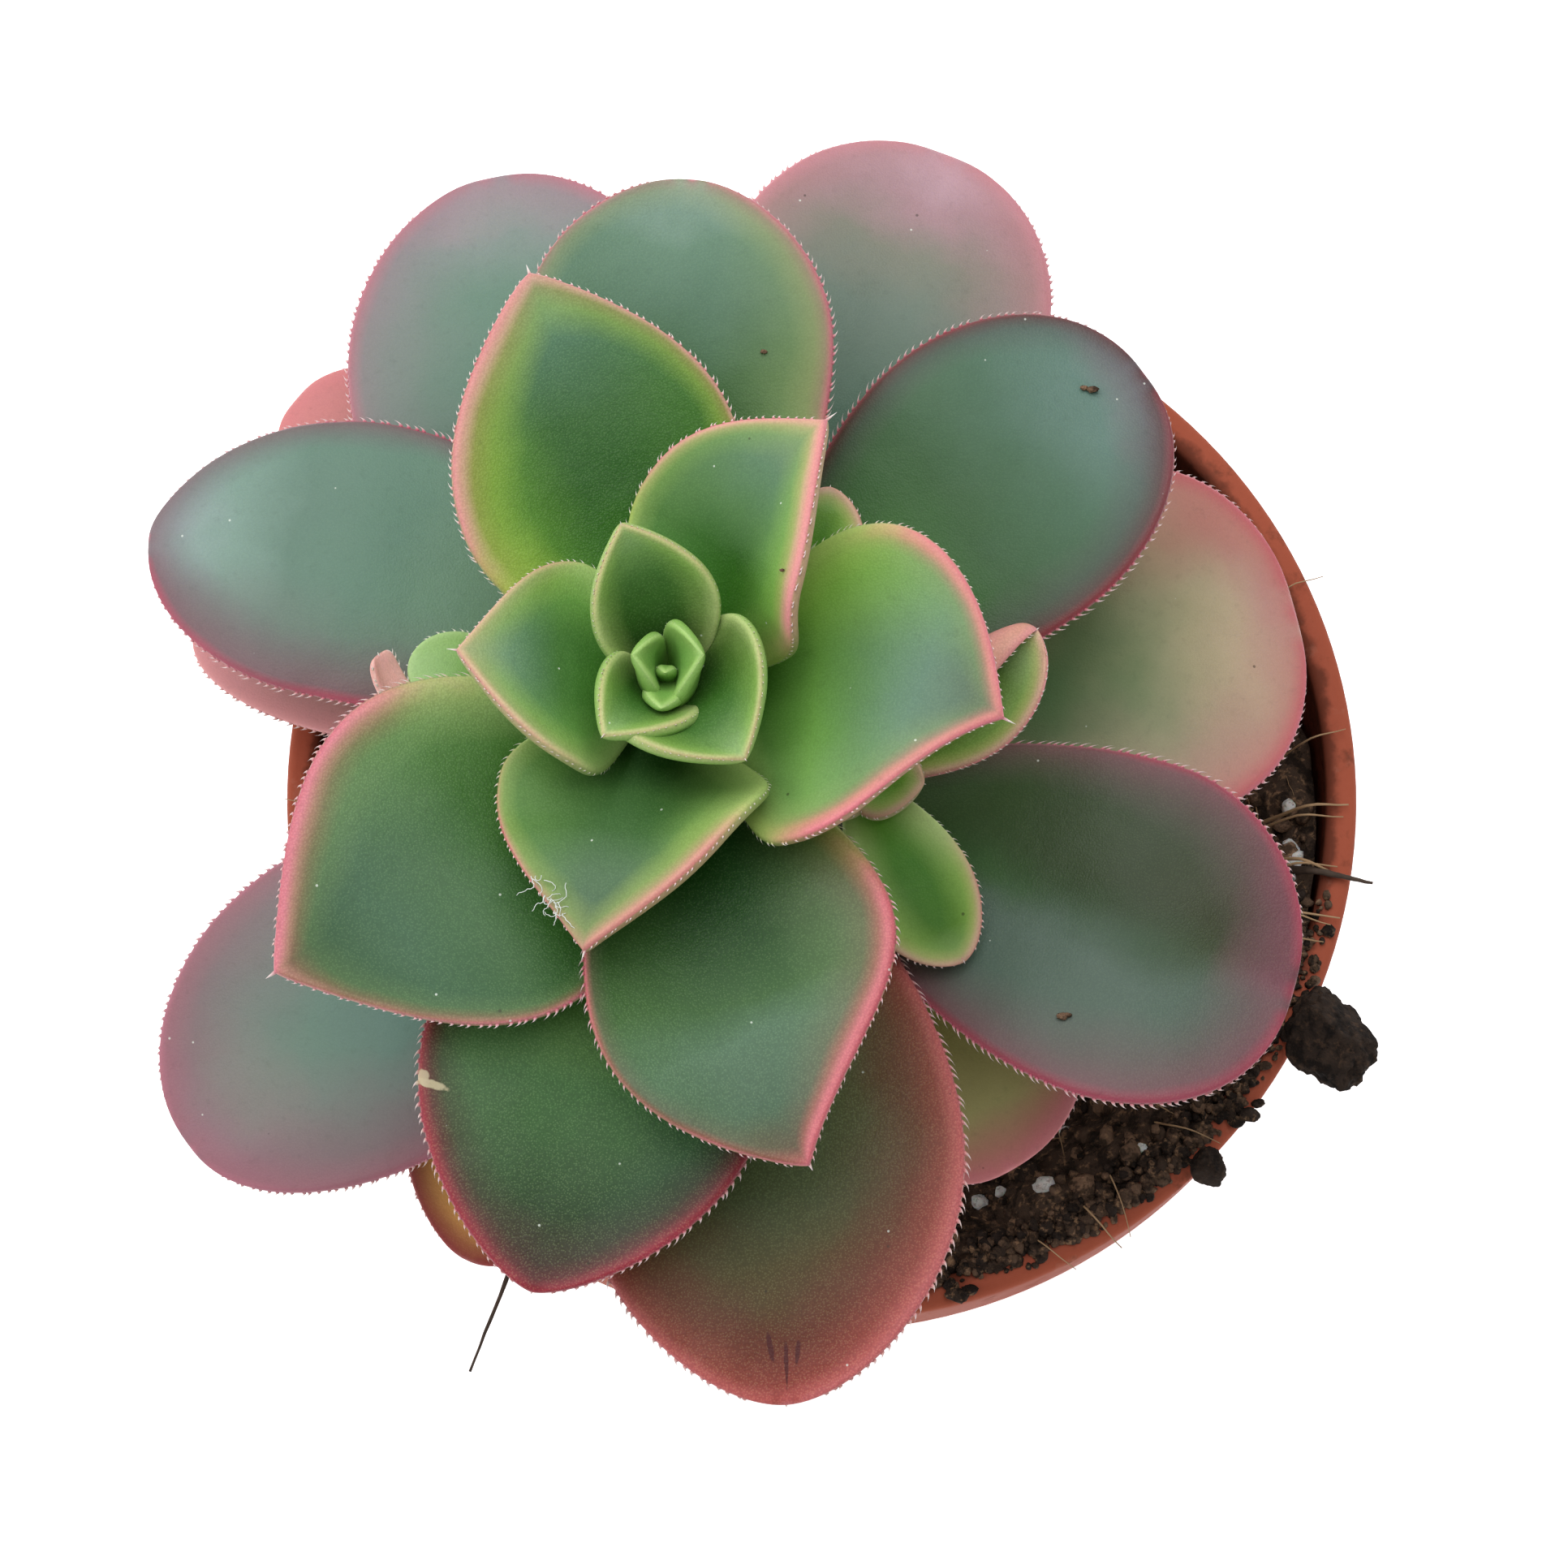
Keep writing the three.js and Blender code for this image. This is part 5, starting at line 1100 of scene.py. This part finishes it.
TWIG_RADIUS = 0.62
TWIGS = {
    "twig_right": [(41, -6.5, 83.5), (45, -7.8, 88.8), (48, -8.7, 92.7), (51, -9.4, 92.75),
                   (53.6, -10.1, 93)],
    "twig_left": [(-21, -32.5, 79.2), (-24, -37, 87), (-26.3, -40.8, 92.7), (-29, -45.5, 92.72),
                  (-33.5, -57.5, 93.1)],
}
dry = Finish("Dry twig", roughness=0.8)
dead = dry.mix(dry.noise(2, 4), 0x2e231c, 0x5a483a)
dry.done(base_color=dead, normal=dry.bump(dry.noise(0.4, 3), 0.08))
for name, route in TWIGS.items():
    route = np.array(route)
    knots = np.linspace(0, 1, len(route))
    fine = np.linspace(0, 1, 40)
    path = np.stack([np.interp(fine, knots, route[:, k]) for k in range(3)], axis=1)
    for _ in range(3):
        path[1:-1] = (path[:-2] + 2 * path[1:-1] + path[2:]) / 4
    points, faces, _ = strand(path, TWIG_RADIUS, 10, 0.2)
    points += np.array([[0.08 * rough(point, 0.8, seed) for seed in (0, 5, 8)] for point in points])
    add_piece(f"{name}_bark", points, faces, {}, dry.material, "twig", name)

# Crumbs on the leaves
# A few dry crumbs have dropped on the leaves and lie in their hollows: the leaf, the place on it and the
# radius of each one.
CRUMBS_ON_LEAVES = [("leaf_09", 0.896, 0.12, 0.42), ("leaf_09", 0.885, 0.17, 0.3),
                    ("leaf_11", 0.647, -0.62, 0.42), ("leaf_11", 0.655, -0.6, 0.3),
                    ("leaf_08", 0.662, -0.535, 0.25), ("leaf_01", 0.582, -0.8, 0.18)]
DRY_TONE = 0.7
fallen = []
for n, (name, share, across, size) in enumerate(CRUMBS_ON_LEAVES):
    spot = blades[name].place(share, across, CROWN_SHARE)
    fallen.append(lump(size, spot + (0, 0, 0.35), 500 + n, (1.3, 0.8, 0.8), 3, 0.15, tone=DRY_TONE))
add_piece("crumbs_on_leaves", *gather(fallen), peat, "soil")

# Lint
# A wisp of pale lint has caught on the teeth of a leaf. It is a loose tangle of fine threads that lies on
# the skin and the margin.
LINT_THREADS = 16
LINT_RADIUS = 0.045
lint = Finish("Lint", roughness=0.8)
lint.done(base_color=lint.mix(lint.noise(2, 2), 0xc8d0c8, 0xf0f4f0))
threads = []
for n in range(LINT_THREADS):
    share, across = chance.uniform(0.77, 0.9), chance.uniform(-0.98, -0.8)
    start = blades["leaf_03"].place(share, across, CROWN_SHARE) + (0, 0, 0.15)
    path = np.array(fibre(start, chance.uniform(-1.9, -0.9), chance.uniform(0.8, 2.6), 0.25, 0.9))
    threads.append(strand(path, LINT_RADIUS, 4, 0.7))
add_piece("lint_wisp", *gather(threads), lint.material, "leaf_inner")

# Studio
# A plain white table under soft light from above, and a camera that looks down at the plant.
table = bpy.data.meshes.new("table")
table.from_pydata([(-3, -3, 0), (3, -3, 0), (3, 3, 0), (-3, 3, 0)], [], [(0, 1, 2, 3)])
paper = Finish("White table", roughness=0.9, emission_color=(1, 1, 1, 1), emission_strength=0.8)
table.materials.append(paper.done(base_color=paper.mix(paper.noise(300, 1), 0xf6f6f6, 0xfafafa)))
floor = bpy.data.objects.new("table", table)
bpy.context.scene.collection.objects.link(floor)

sky = bpy.data.worlds.new("Soft sky")
sky.use_nodes = True
sky.node_tree.nodes["Background"].inputs["Color"].default_value = (0.96, 0.98, 1, 1)
sky.node_tree.nodes["Background"].inputs["Strength"].default_value = 0.3
bpy.context.scene.world = sky


def soft_box(name, place, size, power, aim=(0, 0, 110)):
    lamp = bpy.data.lights.new(name, "AREA")
    lamp.size = size
    lamp.energy = power
    box = bpy.data.objects.new(name, lamp)
    box.location = Vector(place) * MM
    box.rotation_euler = (Vector(place) - Vector(aim)).to_track_quat("Z", "Y").to_euler()
    bpy.context.scene.collection.objects.link(box)


soft_box("Soft box overhead", (-100, 250, 900), 0.9, 7.5)
soft_box("Soft box left", (-800, -100, 600), 0.6, 1.8)

CAMERA_TILT = math.radians(13.5)
CAMERA_DISTANCE = 450
CAMERA_AIM = Vector((-3.7, 0.9, 92))
CAMERA_LENS = 105.37
camera = bpy.data.objects.new("Camera", bpy.data.cameras.new("Camera"))
camera.data.lens = CAMERA_LENS
camera.data.sensor_width = 36
camera.data.clip_start = 0.01
back_off = CAMERA_DISTANCE * Vector((0, -math.sin(CAMERA_TILT), math.cos(CAMERA_TILT)))
camera.location = (CAMERA_AIM + back_off) * MM
camera.rotation_euler = (CAMERA_TILT, 0, 0)
bpy.context.scene.collection.objects.link(camera)
bpy.context.scene.camera = camera
bpy.context.scene.view_settings.view_transform = "Standard"
